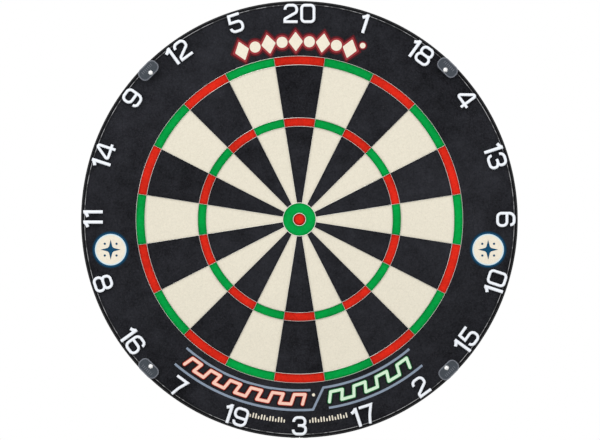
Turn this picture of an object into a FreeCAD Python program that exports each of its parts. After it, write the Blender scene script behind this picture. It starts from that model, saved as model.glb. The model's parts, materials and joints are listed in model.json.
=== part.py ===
import FreeCAD, Part
import math
import os

# Tournament-size sisal dartboard, in millimetres. The board's axis is the Y axis: the playing face
# looks along -Y, the wall is on the +Y side, and segment 20 is on top, towards +Z. The origin is on
# the axis, in the rear face of the steel hub plate that the wall bracket bears on.
# Clock angles are measured in degrees from the top, clockwise as seen by a player.

# ---------------------------------------------------------------- driving dimensions
BOARD_DIA = 453.0          # over the steel band
BACKBOARD_DEPTH = 12.0     # chipboard disc that everything is built on
CORE_DEPTH = 16.0          # undyed sisal between the backboard and the beds
BED_DEPTH = 10.0           # dyed sisal, cut through by the wire blades
FIT_GAP = 0.1              # discs inside the band, joint strap in its recess
RUN_GAP = 0.3              # between pieces that move past one another
SHAFT_GAP = 0.05           # radial, shaft or pin in its bore

BAND_WALL = 0.8            # steel band
BAND_BEAD_DIA = 2.4        # rolled front edge
BAND_SEAM = 0.6            # gap between the band's two ends
STRAP_LENGTH = 26.0        # joint strap inside the seam, along the band
STRAP_MARGIN = 5.0         # from each edge of the band to the strap
STRAP_RIVET_PITCH = 13.0   # along the band
RIVET_R = 1.5
RIVET_HEAD_R = 3.0
RIVET_HEAD_HEIGHT = 0.5

SEGMENTS = 20
DOUBLE_OUTER_R = 169.5     # wire centre lines, as are the next five
DOUBLE_INNER_R = 160.3
TREBLE_OUTER_R = 105.5
TREBLE_INNER_R = 96.6
OUTER_BULL_R = 17.2
BULL_R = 6.5
RING_BLADE = 0.6           # thickness of the ring wires
RADIAL_BLADE = 0.45        # thickness of the wires between the segments
BLADE_PROUD = 0.4          # wires above the sisal

HOOP_EDGE = 3.3            # from the board's edge in to the number hoop
HOOP_WIDTH = 1.0           # flat strip behind the numbers
HOOP_HEIGHT = 1.0
DIGIT_EDGE = 2.4           # from the board's edge in to the numbers' outer corners
DIGIT_HEIGHT = 20.1
DIGIT_WIRE = 3.0           # diameter
ONE_WIRE = 3.4             # the figure 1 is bent from a thicker wire
DIGIT_FLAT = 0.35          # pressed off the wires' backs, where they are welded to the hoop
DIGIT_GAP = 2.1            # between the two figures of a number
BEND_INSIDE = 0.1          # inside radius of the wire's tightest bend
NUMBER_ORDER = [20, 1, 18, 4, 13, 6, 10, 15, 2, 17, 3, 19, 7, 16, 8, 11, 14, 9, 12, 5]
UPSIDE_DOWN = [10, 15, 2, 17, 3, 19, 7, 16, 8]   # numbers of the lower half, read from below

CLIP_CLOCK = [44.3, 135.25, 225.35, 314.6]
CLIP_LENGTH = 23.6
CLIP_WIDTH = 13.7
CLIP_CORNER_R = 6.0
CLIP_END_FLAT = 0.5        # least straight edge left between two corners
CLIP_THICK = 2.2
CLIP_BEVEL = 0.8
CLIP_BOSS_R = 2.3
PIN_INSET = 3.7            # from the clips' inner edges out to their pins
PIN_SHANK_R = 0.75
PIN_HEAD_R = 2.5
PIN_HEAD_HEIGHT = 1.6
PIN_TIP = 1.6
PIN_GRIP = 9.0             # shank length held in the sisal
PIN_HEAD_SEAT = 0.1        # head to clip

HUB_R = 30.0
HUB_THICK = 2.0
HUB_RIM_BEVEL = 0.5
HUB_SCREW_R = 22.0         # pitch radius
HUB_SCREW_SHANK_R = 1.7
HUB_SCREW_HEAD_R = 3.4
HUB_SCREW_SINK = 0.1       # heads below the plate's rear face
HUB_SCREW_LENGTH = 10.5
STUD_R = 2.5
STUD_HOLE_GAP = 0.5
STUD_GAP = 5.5             # bracket slot between the hub plate and the stud's head
STUD_HEAD_R = 8.0
STUD_HEAD_THICK = 2.5
STUD_BITE = 10.0           # thread engaged in the bush
DRIVER_SLOT_WIDTH = 1.2
DRIVER_SLOT_DEPTH = 1.2
BUSH_R = 4.5
BUSH_FLANGE_R = 10.0
BUSH_FLANGE_THICK = 1.2

FOOT_CLOCK = [60.0, 180.0, 300.0]
FOOT_R = 150.0             # from the board's axis to each levelling foot
FOOT_WHEEL_R = 8.0
FOOT_WHEEL_WIDTH = 8.0
FOOT_OFFSET = 2.5          # axle to wheel centre
FOOT_AXLE_R = 2.0
FOOT_AXLE_HEAD_R = 3.0
FOOT_AXLE_HEAD = 0.8
FOOT_SHEET = 1.5           # bracket steel
FOOT_EAR_R = 4.0           # rounded ear around the axle
FOOT_BASE_LENGTH = 34.0
FOOT_SCREW_PITCH = 26.0
FOOT_SCREW_R = 1.5
FOOT_SCREW_HEAD_R = 2.8
FOOT_SCREW_HEAD = 1.6
FOOT_SCREW_LENGTH = 9.0
FOOT_WHEEL_CLEAR = 0.5     # wheel to base plate, nearest
FOOT_GRIP_NOTCHES = 14
FOOT_GRIP_R = 0.8

# ---------------------------------------------------------------- worked-out places
BOARD_R = BOARD_DIA / 2
DISC_R = BOARD_R - BAND_WALL - FIT_GAP
BACK_Y = -HUB_THICK                          # rear face of the backboard
BACKBOARD_FRONT_Y = BACK_Y - BACKBOARD_DEPTH
BED_BACK_Y = BACKBOARD_FRONT_Y - CORE_DEPTH
FACE_Y = BED_BACK_Y - BED_DEPTH              # the playing face
SEGMENT_DEG = 360.0 / SEGMENTS
BEAD_R = BAND_BEAD_DIA / 2
HOOP_OUTER_R = BOARD_R - HOOP_EDGE
HOOP_INNER_R = HOOP_OUTER_R - HOOP_WIDTH
RING_REAR_Y = FACE_Y - BLADE_PROUD - RUN_GAP            # the number ring clears the wires
DIGIT_REAR_Y = RING_REAR_Y - HOOP_HEIGHT                # the numbers lie on the hoop's front
CLIP_REAR_Y = DIGIT_REAR_Y + DIGIT_FLAT - max(DIGIT_WIRE, ONE_WIRE) - RUN_GAP
CLIP_FRONT_Y = CLIP_REAR_Y - CLIP_THICK
PIN_R = BOARD_R - CLIP_WIDTH + PIN_INSET
FOOT_BASE_Y = BACK_Y + FOOT_SHEET
FOOT_AXLE_Y = FOOT_BASE_Y + FOOT_WHEEL_CLEAR + FOOT_WHEEL_R + FOOT_OFFSET
FOOT_EAR_X = FOOT_WHEEL_WIDTH / 2 + RUN_GAP             # inner side of each ear

ORIGIN = FreeCAD.Vector(0, 0, 0)
ALONG_X = FreeCAD.Vector(1, 0, 0)
ALONG_Y = FreeCAD.Vector(0, 1, 0)


# ---------------------------------------------------------------- shared shapes
def rod(radius, y_from, y_to, x=0.0, z=0.0):
    """A cylinder along the board's axis."""
    return Part.makeCylinder(radius, y_to - y_from, FreeCAD.Vector(x, y_from, z), ALONG_Y)


def pipe(outer_r, inner_r, y_from, y_to):
    """A round wall about the board's axis."""
    return rod(outer_r, y_from, y_to).cut(rod(inner_r, y_from, y_to))


def block(x_from, x_to, y_from, y_to, z_from, z_to):
    """A box between two corners."""
    corner = FreeCAD.Vector(x_from, y_from, z_from)
    return Part.makeBox(x_to - x_from, y_to - y_from, z_to - z_from, corner)


def at_clock(shape, angle):
    """A copy turned from the top of the board to a clock angle."""
    turned = shape.copy()
    turned.rotate(ORIGIN, ALONG_Y, angle)
    return turned


def moved(shape, x, y, z):
    """A copy moved by a distance."""
    shifted = shape.copy()
    shifted.translate(FreeCAD.Vector(x, y, z))
    return shifted


def around(shape, angles):
    """Copies at several clock angles, made at the top of the board."""
    return [at_clock(shape, angle) for angle in angles]


def write(name, shapes):
    """One STEP file for a node, holding one solid or several."""
    solids = [solid for shape in shapes for solid in shape.Solids]
    shape = solids[0] if len(solids) == 1 else Part.makeCompound(solids)
    shape.exportStep("parts/" + name + ".step")


# ---------------------------------------------------------------- steel band
def bead(extra=0.0):
    """The rolled front edge, or the room for it."""
    centre = FreeCAD.Vector(0, FACE_Y + BEAD_R, 0)
    return Part.makeTorus(BOARD_R - BEAD_R, BEAD_R + extra, centre, ALONG_Y)


def steel_band():
    """The band: a thin wall with a rolled front edge, open at its seam."""
    wall = pipe(BOARD_R, BOARD_R - BAND_WALL, FACE_Y + BEAD_R, BACK_Y)
    seam = block(-BAND_SEAM / 2, BAND_SEAM / 2, FACE_Y - 1, BACK_Y + 1, 0, BOARD_R + 1)
    return wall.fuse(bead()).cut(at_clock(seam, 180)).cut(around(strap_hole(), strap_rivet_clock()))


def strap_y():
    """The strap's two edges across the band."""
    return FACE_Y + STRAP_MARGIN, BACK_Y - STRAP_MARGIN


def strap_wall(thick, length):
    """A curved strip inside the band at its seam."""
    y_from, y_to = strap_y()
    outer = BOARD_R - BAND_WALL
    window = block(-length / 2, length / 2, y_from, y_to, 0, BOARD_R)
    return at_clock(pipe(outer, outer - thick, y_from, y_to).common(window), 180)


def strap_rivet_clock():
    """Clock angles of the two columns of rivets."""
    half = math.degrees(STRAP_RIVET_PITCH / 2 / BOARD_R)
    return [180 - half, 180 + half]


def radial_rod(radius, r_from, r_to, y):
    """A cylinder that points outwards at the top of the board."""
    return Part.makeCylinder(radius, r_to - r_from, FreeCAD.Vector(0, y, r_from))


def rivet_rows():
    """The two rivets of a column, a quarter in from each edge of the strap."""
    y_from, y_to = strap_y()
    quarter = (y_to - y_from) / 4
    return [y_from + quarter, y_to - quarter]


def strap_hole():
    """Both rivet holes of a column, at the top of the board."""
    rods = [radial_rod(RIVET_R, BOARD_R - 4, BOARD_R + 1, y) for y in rivet_rows()]
    return Part.makeCompound(rods)


def band_strap():
    """The strap that joins the band's ends from inside."""
    return strap_wall(BAND_WALL, STRAP_LENGTH).cut(around(strap_hole(), strap_rivet_clock()))


def band_rivet(y):
    """A low round-headed rivet through band and strap."""
    strap_inner = BOARD_R - 2 * BAND_WALL
    head_top = BOARD_R + RIVET_HEAD_HEIGHT
    tail_end = strap_inner - RIVET_HEAD_HEIGHT
    head = radial_rod(RIVET_HEAD_R, BOARD_R - RIVET_HEAD_HEIGHT, head_top, y)
    rim = [e for e in head.Edges if e.BoundBox.ZMin > head_top - 1e-6]
    head = head.makeFillet(RIVET_HEAD_HEIGHT * 0.9, rim)
    tail = radial_rod(RIVET_HEAD_R, tail_end, strap_inner, y)
    outside = pipe(BOARD_R + 5, BOARD_R, FACE_Y, BACK_Y)
    inside = rod(strap_inner, FACE_Y, BACK_Y)
    shank = radial_rod(RIVET_R, tail_end, head_top, y)
    return shank.fuse([head.common(outside), tail.common(inside)])


def band_rivets():
    """Four rivets: two columns of two."""
    column = Part.makeCompound([band_rivet(y) for y in rivet_rows()])
    return around(column, strap_rivet_clock())


def strap_recess():
    """Room for the strap and the rivets' inner heads."""
    return strap_wall(BAND_WALL + RIVET_HEAD_HEIGHT + 2 * FIT_GAP, STRAP_LENGTH + 2 * FIT_GAP)


# ---------------------------------------------------------------- discs and beds
def disc(y_from, y_to):
    """A full disc inside the band, with room for the strap."""
    return rod(DISC_R, y_from, y_to).cut(strap_recess())


def backboard():
    """Chipboard disc with the bush's hole and the screws' pilot holes."""
    board = disc(BACKBOARD_FRONT_Y, BACK_Y)
    bush = rod(BUSH_R, BACKBOARD_FRONT_Y, BACK_Y)
    flange = rod(BUSH_FLANGE_R, BACKBOARD_FRONT_Y, BACKBOARD_FRONT_Y + BUSH_FLANGE_THICK)
    hub_pilots = around(hub_screw(), quarter_turns())
    foot_pilots = foot_screws()
    return board.cut([bush, flange] + hub_pilots + foot_pilots)


def sisal_core():
    """Undyed compressed sisal behind the beds, drilled where a pin reaches through them."""
    return disc(BED_BACK_Y, BACKBOARD_FRONT_Y).cut(pin_holes())


def pin_holes():
    """Holes in the sisal for the clip pins, a little deeper than the pins go."""
    hole = rod(PIN_SHANK_R + SHAFT_GAP, FACE_Y, FACE_Y + PIN_GRIP + RUN_GAP, 0, PIN_R)
    return around(hole, CLIP_CLOCK)


def sisal_surround():
    """Black sisal outside the double ring, drilled for the clip pins."""
    ring = disc(FACE_Y, BED_BACK_Y).cut(rod(DOUBLE_OUTER_R + RING_BLADE / 2, FACE_Y, BED_BACK_Y))
    return ring.cut(bead(FIT_GAP)).cut(pin_holes())


def segment_edges():
    """Clock angles of the wires between the segments."""
    return [SEGMENT_DEG * (k + 0.5) for k in range(SEGMENTS)]


def radial_slabs(y_from, y_to, reach):
    """One thin slab per segment boundary, from the axis outwards."""
    half = RADIAL_BLADE / 2
    return around(block(-half, half, y_from, y_to, 0, reach), segment_edges())


def bed_band(outer_wire_r, inner_wire_r):
    """The beds between two ring wires, in two lists: segment 20's colour and segment 1's."""
    half = RING_BLADE / 2
    ring = pipe(outer_wire_r - half, inner_wire_r + half, FACE_Y, BED_BACK_Y)
    beds = ring.cut(radial_slabs(FACE_Y, BED_BACK_Y, BOARD_R)).Solids
    groups = ([], [])
    for bed in beds:
        centre = bed.CenterOfMass
        clock = math.degrees(math.atan2(centre.x, centre.z)) % 360
        groups[round(clock / SEGMENT_DEG) % 2].append(bed)
    return groups


def ring_wire(centre_r):
    """A ring blade, sunk in the sisal and a little proud of it."""
    half = RING_BLADE / 2
    return pipe(centre_r + half, centre_r - half, FACE_Y - BLADE_PROUD, BED_BACK_Y)


def radial_blades():
    """Radial blades from the outer bull to the double ring, notched at the ring wires."""
    half = RING_BLADE / 2
    rings = [OUTER_BULL_R, TREBLE_INNER_R, TREBLE_OUTER_R, DOUBLE_INNER_R, DOUBLE_OUTER_R]
    blades = []
    for inner_r, outer_r in zip(rings, rings[1:]):
        span = pipe(outer_r - half, inner_r + half, FACE_Y - BLADE_PROUD, BED_BACK_Y)
        slabs = radial_slabs(FACE_Y - BLADE_PROUD, BED_BACK_Y, outer_r)
        blades += [span.common(slab) for slab in slabs]
    return blades


# ---------------------------------------------------------------- number ring
def number_hoop():
    """The thin flat hoop that carries the numerals on its front."""
    return pipe(HOOP_OUTER_R, HOOP_INNER_R, RING_REAR_Y - HOOP_HEIGHT, RING_REAR_Y)


def bend(before, corner, after, radius):
    """Start, middle and end of the arc that rounds a corner."""
    to_before = (before - corner).normalize()
    to_after = (after - corner).normalize()
    half = to_before.getAngle(to_after) / 2
    inward = (to_before + to_after).normalize()
    setback = radius / math.tan(half)
    middle = corner + inward * (radius / math.sin(half) - radius)
    return corner + to_before * setback, middle, corner + to_after * setback


def route(points, tightest, closed=False):
    """Straight runs through (x, z, bend radius) points, mitred where the radius is 0."""
    spots = [FreeCAD.Vector(x * GRID, 0, z * GRID) for x, z, _ in points]
    count = len(points)
    corners = range(count) if closed else range(1, count - 1)
    bends = {}
    for k in corners:
        if points[k][2] > 0:
            radius = max(points[k][2] * GRID, tightest)
            bends[k] = bend(spots[k - 1], spots[k], spots[(k + 1) % count], radius)
    edges = []
    for k in range(count if closed else count - 1):
        following = (k + 1) % count
        start = bends[k][2] if k in bends else spots[k]
        end = bends[following][0] if following in bends else spots[following]
        edges.append(Part.LineSegment(start, end).toShape())
        if following in bends:
            edges.append(Part.Arc(*bends[following]).toShape())
    return Part.Wire(edges)


def bent_wire(path, diameter):
    """Round wire bent along a route, its ends cut flat."""
    first = path.OrderedEdges[0]
    start = first.valueAt(first.FirstParameter)
    profile = Part.Wire(Part.makeCircle(diameter / 2, start, first.tangentAt(first.FirstParameter)))
    mitred = 1
    return path.makePipeShell([profile], True, False, mitred)


# The figures are drawn on a lettering grid, TOP units from the lower to the upper centre line,
# which the figures' height and wire scale to its real size. Each figure gives the width between
# its outermost centre lines, its wire and its routes. A route's points are (x, z, bend radius) from
# the lower left centre lines, and an end that is flush with the figure's outline stands EDGE
# outside them. The corners of sharp bends stand further out, because the bend pulls the wire in.
TOP = 17.2
GRID = (DIGIT_HEIGHT - DIGIT_WIRE) / TOP
EDGE = DIGIT_WIRE / 2 / GRID
BOWL_R = 4.2
ZERO_BEND_R = 3.6
CORNER_R = 1.6


def figure_0():
    """A rounded rectangle."""
    box = 12.9
    loop = [(0, 0, ZERO_BEND_R), (box, 0, ZERO_BEND_R), (box, TOP, ZERO_BEND_R), (0, TOP, ZERO_BEND_R)]
    return box, DIGIT_WIRE, [(loop, True)]


def figure_1():
    """A stem with a short slanting flag."""
    stem = 5.1
    top = (DIGIT_HEIGHT - ONE_WIRE) / GRID
    edge = ONE_WIRE / 2 / GRID
    flag = [(0, top - 2.9, 0), (2.2, top - 2.0, 3.0), (stem - 0.2, top + 0.1, 0)]
    return stem, ONE_WIRE, [([(stem, -edge, 0), (stem, top + edge, 0)], False), (flag, False)]


def figure_2():
    """A hooked bow, a slanting neck and a flat foot."""
    box = 12.4
    bow = [(0.3, TOP - 4.6, 0), (0.3, TOP, BOWL_R), (box, TOP, BOWL_R), (box, 9.9, 3.2)]
    foot = [(0, 2 * EDGE, 1.8), (0, 0, 0), (box + 0.9, 0, 0)]
    return box, DIGIT_WIRE, [(bow + foot, False)]


def figure_3():
    """An upper bow that ends in the waist bar, and a lower bow that starts in it."""
    box = 12.9
    waist = 8.9
    upper = [(0.6, TOP - 4.4, 0), (0.6, TOP, BOWL_R), (box - 0.6, TOP, BOWL_R)]
    upper += [(box - 0.6, waist, 3.4), (4.8, waist, 0)]
    lower = [(box - 4.6, waist + 0.1, 0), (box, waist - 1.8, 2.6), (box, 0, BOWL_R)]
    lower += [(0, 0, BOWL_R), (0, 4.7, 0)]
    return box, DIGIT_WIRE, [(upper, False), (lower, False)]


def figure_4():
    """A stem bent over into the slant and the crossbar."""
    box = 14.1
    stem = 11.3
    bar = 3.2
    splice = bar + 3.4
    frame = [(stem, splice, 0), (stem, TOP + 2.9, CORNER_R), (-1.4, bar, CORNER_R), (box + EDGE, bar, 0)]
    foot = [(stem, -EDGE, 0), (stem, splice, 0)]
    return box, DIGIT_WIRE, [(frame, False), (foot, False)]


def figure_5():
    """A flat top, a short neck and a round bowl."""
    box = 12.6
    shoulder = 9.8
    flag = [(box - 0.1, TOP, 0), (1.2, TOP, 0), (0.5, shoulder, 0)]
    cup = [(box, shoulder, BOWL_R), (box, 0, BOWL_R), (0, 0, BOWL_R), (0, 4.3, 0)]
    return box, DIGIT_WIRE, [(flag + cup, False)]


def figure_6():
    """A hooked back that runs on into a bowl and is spliced to itself."""
    box = 12.9
    shoulder = 9.8
    hook = [(box - 0.8, TOP - 4.0, 0), (box - 0.8, TOP, 3.8), (0, TOP, 5.0)]
    cup = [(0, 0, BOWL_R), (box, 0, BOWL_R), (box, shoulder, BOWL_R), (box / 2, shoulder, 0)]
    return box, DIGIT_WIRE, [(hook + cup, False), ([(box / 2, shoulder, 0), (0, shoulder, 0)], False)]


def figure_7():
    """A flat top and a slightly bowed leg."""
    box = 11.7
    leg = [(-EDGE, TOP, 0), (box, TOP, 0), (box - 4.4, 7.2, 24.0), (box - 6.6, -EDGE, 0)]
    return box, DIGIT_WIRE, [(leg, False)]


def figure_8():
    """A closed lower loop with an arch standing on it."""
    box = 14.0
    waist = 8.9
    side = 0.9
    loop = [(0, 0, BOWL_R), (box, 0, BOWL_R), (box, waist, BOWL_R), (0, waist, BOWL_R)]
    arch = [(4.0, waist, 0), (side, waist + 1.5, 2.0), (side, TOP, BOWL_R)]
    arch += [(box - side, TOP, BOWL_R), (box - side, waist + 1.5, 2.0), (box - 4.0, waist, 0)]
    return box, DIGIT_WIRE, [(loop, True), (arch, False)]


def figure_solid(routes_of, upside_down=False):
    """One figure, its lower left outer corner at x = z = 0 and its back flat, and its outer width."""
    grid_width, wire, routes = routes_of()
    half = wire / 2
    span = grid_width * GRID
    solids = [bent_wire(route(points, half + BEND_INSIDE, closed), wire) for points, closed in routes]
    solid = solids[0].fuse(solids[1:]) if len(solids) > 1 else solids[0]
    if upside_down:
        solid.rotate(FreeCAD.Vector(span / 2, 0, (DIGIT_HEIGHT - wire) / 2), ALONG_Y, 180)
    pressed = block(-wire, span + wire, half - DIGIT_FLAT, wire, -wire, DIGIT_HEIGHT + wire)
    return moved(solid.cut(pressed), half, DIGIT_REAR_Y + DIGIT_FLAT - half, half), span + wire


def all_figures():
    """The ten figures; the 9 is a 6 turned over."""
    kinds = [figure_0, figure_1, figure_2, figure_3, figure_4, figure_5, figure_6, figure_7, figure_8]
    return [figure_solid(kind) for kind in kinds] + [figure_solid(figure_6, upside_down=True)]


def number_solids(number, figures):
    """A number's figures in a row, upright, centred on x = 0 and with its foot on z = 0."""
    row = []
    x = 0.0
    for digit in str(number):
        solid, width = figures[int(digit)]
        row.append(moved(solid, x, 0, 0))
        x += width + DIGIT_GAP
    width = x - DIGIT_GAP
    return [moved(solid, -width / 2, 0, 0) for solid in row], width


def numerals():
    """All twenty numbers, welded to the hoop's front near their outer ends."""
    figures = all_figures()
    middle = FreeCAD.Vector(0, 0, DIGIT_HEIGHT / 2)
    solids = []
    for place, number in enumerate(NUMBER_ORDER):
        row, width = number_solids(number, figures)
        if number in UPSIDE_DOWN:
            for solid in row:
                solid.rotate(middle, ALONG_Y, 180)
        outer = math.sqrt((BOARD_R - DIGIT_EDGE) ** 2 - (width / 2) ** 2)
        for solid in row:
            solids.append(at_clock(moved(solid, 0, 0, outer - DIGIT_HEIGHT), place * SEGMENT_DEG))
    return solids


# ---------------------------------------------------------------- clips and pins
def ring_clip():
    """A moulded clip at the top of the board: a bevelled plate over the hoop on a short boss."""
    plate = block(-CLIP_LENGTH / 2, CLIP_LENGTH / 2, CLIP_FRONT_Y, CLIP_REAR_Y,
                  BOARD_R - CLIP_WIDTH, BOARD_R)
    upright = [e for e in plate.Edges if abs(e.BoundBox.YLength - CLIP_THICK) < 1e-6]
    corner_r = min(CLIP_CORNER_R, (CLIP_WIDTH - CLIP_END_FLAT) / 2)
    plate = plate.makeFillet(corner_r, upright)
    front = [e for e in plate.Edges if e.BoundBox.YMax < CLIP_FRONT_Y + 1e-6]
    plate = plate.makeChamfer(CLIP_BEVEL, front)
    boss = rod(CLIP_BOSS_R, CLIP_REAR_Y, FACE_Y - RUN_GAP, 0, PIN_R)
    bore = rod(PIN_SHANK_R + SHAFT_GAP, CLIP_FRONT_Y, FACE_Y - RUN_GAP, 0, PIN_R)
    return plate.fuse(boss).cut(bore)


def clip_pin():
    """A headed pin at the top of the board: domed head, shank and point."""
    seat = CLIP_FRONT_Y - PIN_HEAD_SEAT
    tip = FACE_Y + PIN_GRIP
    shank = rod(PIN_SHANK_R, seat, tip - PIN_TIP, 0, PIN_R)
    point = Part.makeCone(PIN_SHANK_R, 0.1, PIN_TIP, FreeCAD.Vector(0, tip - PIN_TIP, PIN_R), ALONG_Y)
    sphere_r = (PIN_HEAD_R ** 2 + PIN_HEAD_HEIGHT ** 2) / (2 * PIN_HEAD_HEIGHT)
    ball = Part.makeSphere(sphere_r, FreeCAD.Vector(0, seat - PIN_HEAD_HEIGHT + sphere_r, PIN_R))
    dome = ball.common(rod(PIN_HEAD_R + 1, seat - PIN_HEAD_HEIGHT - 1, seat, 0, PIN_R))
    return dome.fuse([shank, point])


# ---------------------------------------------------------------- hub
def quarter_turns():
    """Clock angles of the four hub screws."""
    return [45.0 + 90 * k for k in range(4)]


def hub_screw():
    """A countersunk screw at the top of the hub plate, its head just under flush."""
    face = -HUB_SCREW_SINK
    cone_depth = HUB_SCREW_HEAD_R - HUB_SCREW_SHANK_R
    base = FreeCAD.Vector(0, face - cone_depth, HUB_SCREW_R)
    head = Part.makeCone(HUB_SCREW_SHANK_R, HUB_SCREW_HEAD_R, cone_depth, base, ALONG_Y)
    return head.fuse(rod(HUB_SCREW_SHANK_R, -HUB_SCREW_LENGTH, face - cone_depth, 0, HUB_SCREW_R))


def cross_slot(y_face, radius, x=0.0, z=0.0):
    """A driver slot cut into a head that faces the wall."""
    half = DRIVER_SLOT_WIDTH / 2
    return block(x - half, x + half, y_face - DRIVER_SLOT_DEPTH, y_face + 1, z - radius, z + radius)


def hub_screws():
    """Four slotted countersunk screws."""
    slot = cross_slot(-HUB_SCREW_SINK, HUB_SCREW_HEAD_R * 0.8, 0, HUB_SCREW_R)
    return around(hub_screw().cut(slot), quarter_turns())


def hub_plate():
    """Steel disc on the backboard, countersunk for its screws, with a hole for the stud."""
    plate = rod(HUB_R, BACK_Y, 0)
    rim = [e for e in plate.Edges if abs(e.BoundBox.YMin) < 1e-6 and e.BoundBox.XLength > HUB_R]
    plate = plate.makeChamfer(HUB_RIM_BEVEL, rim)
    sink = rod(HUB_SCREW_HEAD_R, -HUB_SCREW_SINK, 0, 0, HUB_SCREW_R).fuse(hub_screw())
    return plate.cut([rod(STUD_R + STUD_HOLE_GAP, BACK_Y, 0)] + around(sink, quarter_turns()))


def hub_bush():
    """Flanged threaded bush, pressed into the backboard from its front."""
    barrel = rod(BUSH_R, BACKBOARD_FRONT_Y, BACK_Y)
    flange = rod(BUSH_FLANGE_R, BACKBOARD_FRONT_Y, BACKBOARD_FRONT_Y + BUSH_FLANGE_THICK)
    return barrel.fuse(flange).cut(rod(STUD_R, BACKBOARD_FRONT_Y, BACK_Y))


def hanging_stud():
    """Headed stud that drops into the slot of the wall bracket."""
    shank = rod(STUD_R, BACK_Y - STUD_BITE, STUD_GAP)
    head = rod(STUD_HEAD_R, STUD_GAP, STUD_GAP + STUD_HEAD_THICK)
    rim = [e for e in head.Edges if e.BoundBox.YMin > STUD_GAP + STUD_HEAD_THICK - 1e-6]
    head = head.makeFillet(STUD_HEAD_THICK / 3, rim)
    return shank.fuse(head).cut(cross_slot(STUD_GAP + STUD_HEAD_THICK, STUD_HEAD_R + 1))


# ---------------------------------------------------------------- levelling feet
def crosswise(radius, x_from, x_to, y, z):
    """A cylinder across a foot, along its axle."""
    return Part.makeCylinder(radius, x_to - x_from, FreeCAD.Vector(x_from, y, z), ALONG_X)


def foot_screw():
    """A pan-head screw, on the board's axis."""
    head = rod(FOOT_SCREW_HEAD_R, FOOT_BASE_Y, FOOT_BASE_Y + FOOT_SCREW_HEAD)
    rim = [e for e in head.Edges if e.BoundBox.YMin > FOOT_BASE_Y + FOOT_SCREW_HEAD - 1e-6]
    head = head.makeFillet(FOOT_SCREW_HEAD / 2, rim)
    shank = rod(FOOT_SCREW_R, BACK_Y - FOOT_SCREW_LENGTH, FOOT_BASE_Y)
    slot = cross_slot(FOOT_BASE_Y + FOOT_SCREW_HEAD, FOOT_SCREW_HEAD_R * 0.8)
    return head.fuse(shank).cut(slot)


def foot_screws():
    """Two screws for each foot."""
    half = FOOT_SCREW_PITCH / 2
    pair = [moved(foot_screw(), 0, 0, FOOT_R - half), moved(foot_screw(), 0, 0, FOOT_R + half)]
    return [screw for each in pair for screw in around(each, FOOT_CLOCK)]


def foot_bracket():
    """A folded bracket at the top of the board: base plate and two ears for the axle."""
    outer = FOOT_EAR_X + FOOT_SHEET
    half = FOOT_BASE_LENGTH / 2
    base = block(-outer, outer, BACK_Y, FOOT_BASE_Y, FOOT_R - half, FOOT_R + half)
    for z in (FOOT_R - FOOT_SCREW_PITCH / 2, FOOT_R + FOOT_SCREW_PITCH / 2):
        base = base.cut(rod(FOOT_SCREW_R, BACK_Y, FOOT_BASE_Y, 0, z))
    bracket = base
    for x_from, x_to in ((-outer, -FOOT_EAR_X), (FOOT_EAR_X, outer)):
        web = block(x_from, x_to, FOOT_BASE_Y, FOOT_AXLE_Y, FOOT_R - FOOT_EAR_R, FOOT_R + FOOT_EAR_R)
        eye = crosswise(FOOT_EAR_R, x_from, x_to, FOOT_AXLE_Y, FOOT_R)
        bracket = bracket.fuse([web, eye])
    return bracket.cut(crosswise(FOOT_AXLE_R, -outer, outer, FOOT_AXLE_Y, FOOT_R)).removeSplitter()


def foot_axle():
    """A riveted axle through both ears."""
    outer = FOOT_EAR_X + FOOT_SHEET
    shaft = crosswise(FOOT_AXLE_R, -outer, outer, FOOT_AXLE_Y, FOOT_R)
    heads = []
    for x_from in (-outer - FOOT_AXLE_HEAD, outer):
        heads.append(crosswise(FOOT_AXLE_HEAD_R, x_from, x_from + FOOT_AXLE_HEAD, FOOT_AXLE_Y, FOOT_R))
    return shaft.fuse(heads)


def foot_wheel():
    """An eccentric thumb wheel, its thin side towards the wall when the foot is retracted."""
    half = FOOT_WHEEL_WIDTH / 2
    hub_y = FOOT_AXLE_Y - FOOT_OFFSET
    wheel = crosswise(FOOT_WHEEL_R, -half, half, hub_y, FOOT_R)
    notches = []
    for k in range(FOOT_GRIP_NOTCHES):
        turn = 2 * math.pi * k / FOOT_GRIP_NOTCHES
        y = hub_y + FOOT_WHEEL_R * math.cos(turn)
        z = FOOT_R + FOOT_WHEEL_R * math.sin(turn)
        notches.append(crosswise(FOOT_GRIP_R, -half, half, y, z))
    bore = crosswise(FOOT_AXLE_R + SHAFT_GAP, -half, half, FOOT_AXLE_Y, FOOT_R)
    return wheel.cut(notches + [bore])


# ---------------------------------------------------------------- the assembly
def write_beds():
    """Sisal beds, grouped by colour as they are dyed."""
    red_double, green_double = bed_band(DOUBLE_OUTER_R, DOUBLE_INNER_R)
    black_outer, cream_outer = bed_band(DOUBLE_INNER_R, TREBLE_OUTER_R)
    red_treble, green_treble = bed_band(TREBLE_OUTER_R, TREBLE_INNER_R)
    black_inner, cream_inner = bed_band(TREBLE_INNER_R, OUTER_BULL_R)
    write("double_beds_red", red_double)
    write("double_beds_green", green_double)
    write("outer_singles_black", black_outer)
    write("outer_singles_cream", cream_outer)
    write("treble_beds_red", red_treble)
    write("treble_beds_green", green_treble)
    write("inner_singles_black", black_inner)
    write("inner_singles_cream", cream_inner)
    half = RING_BLADE / 2
    write("outer_bull_bed", [pipe(OUTER_BULL_R - half, BULL_R + half, FACE_Y, BED_BACK_Y)])
    write("bullseye_bed", [rod(BULL_R - half, FACE_Y, BED_BACK_Y)])


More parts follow.
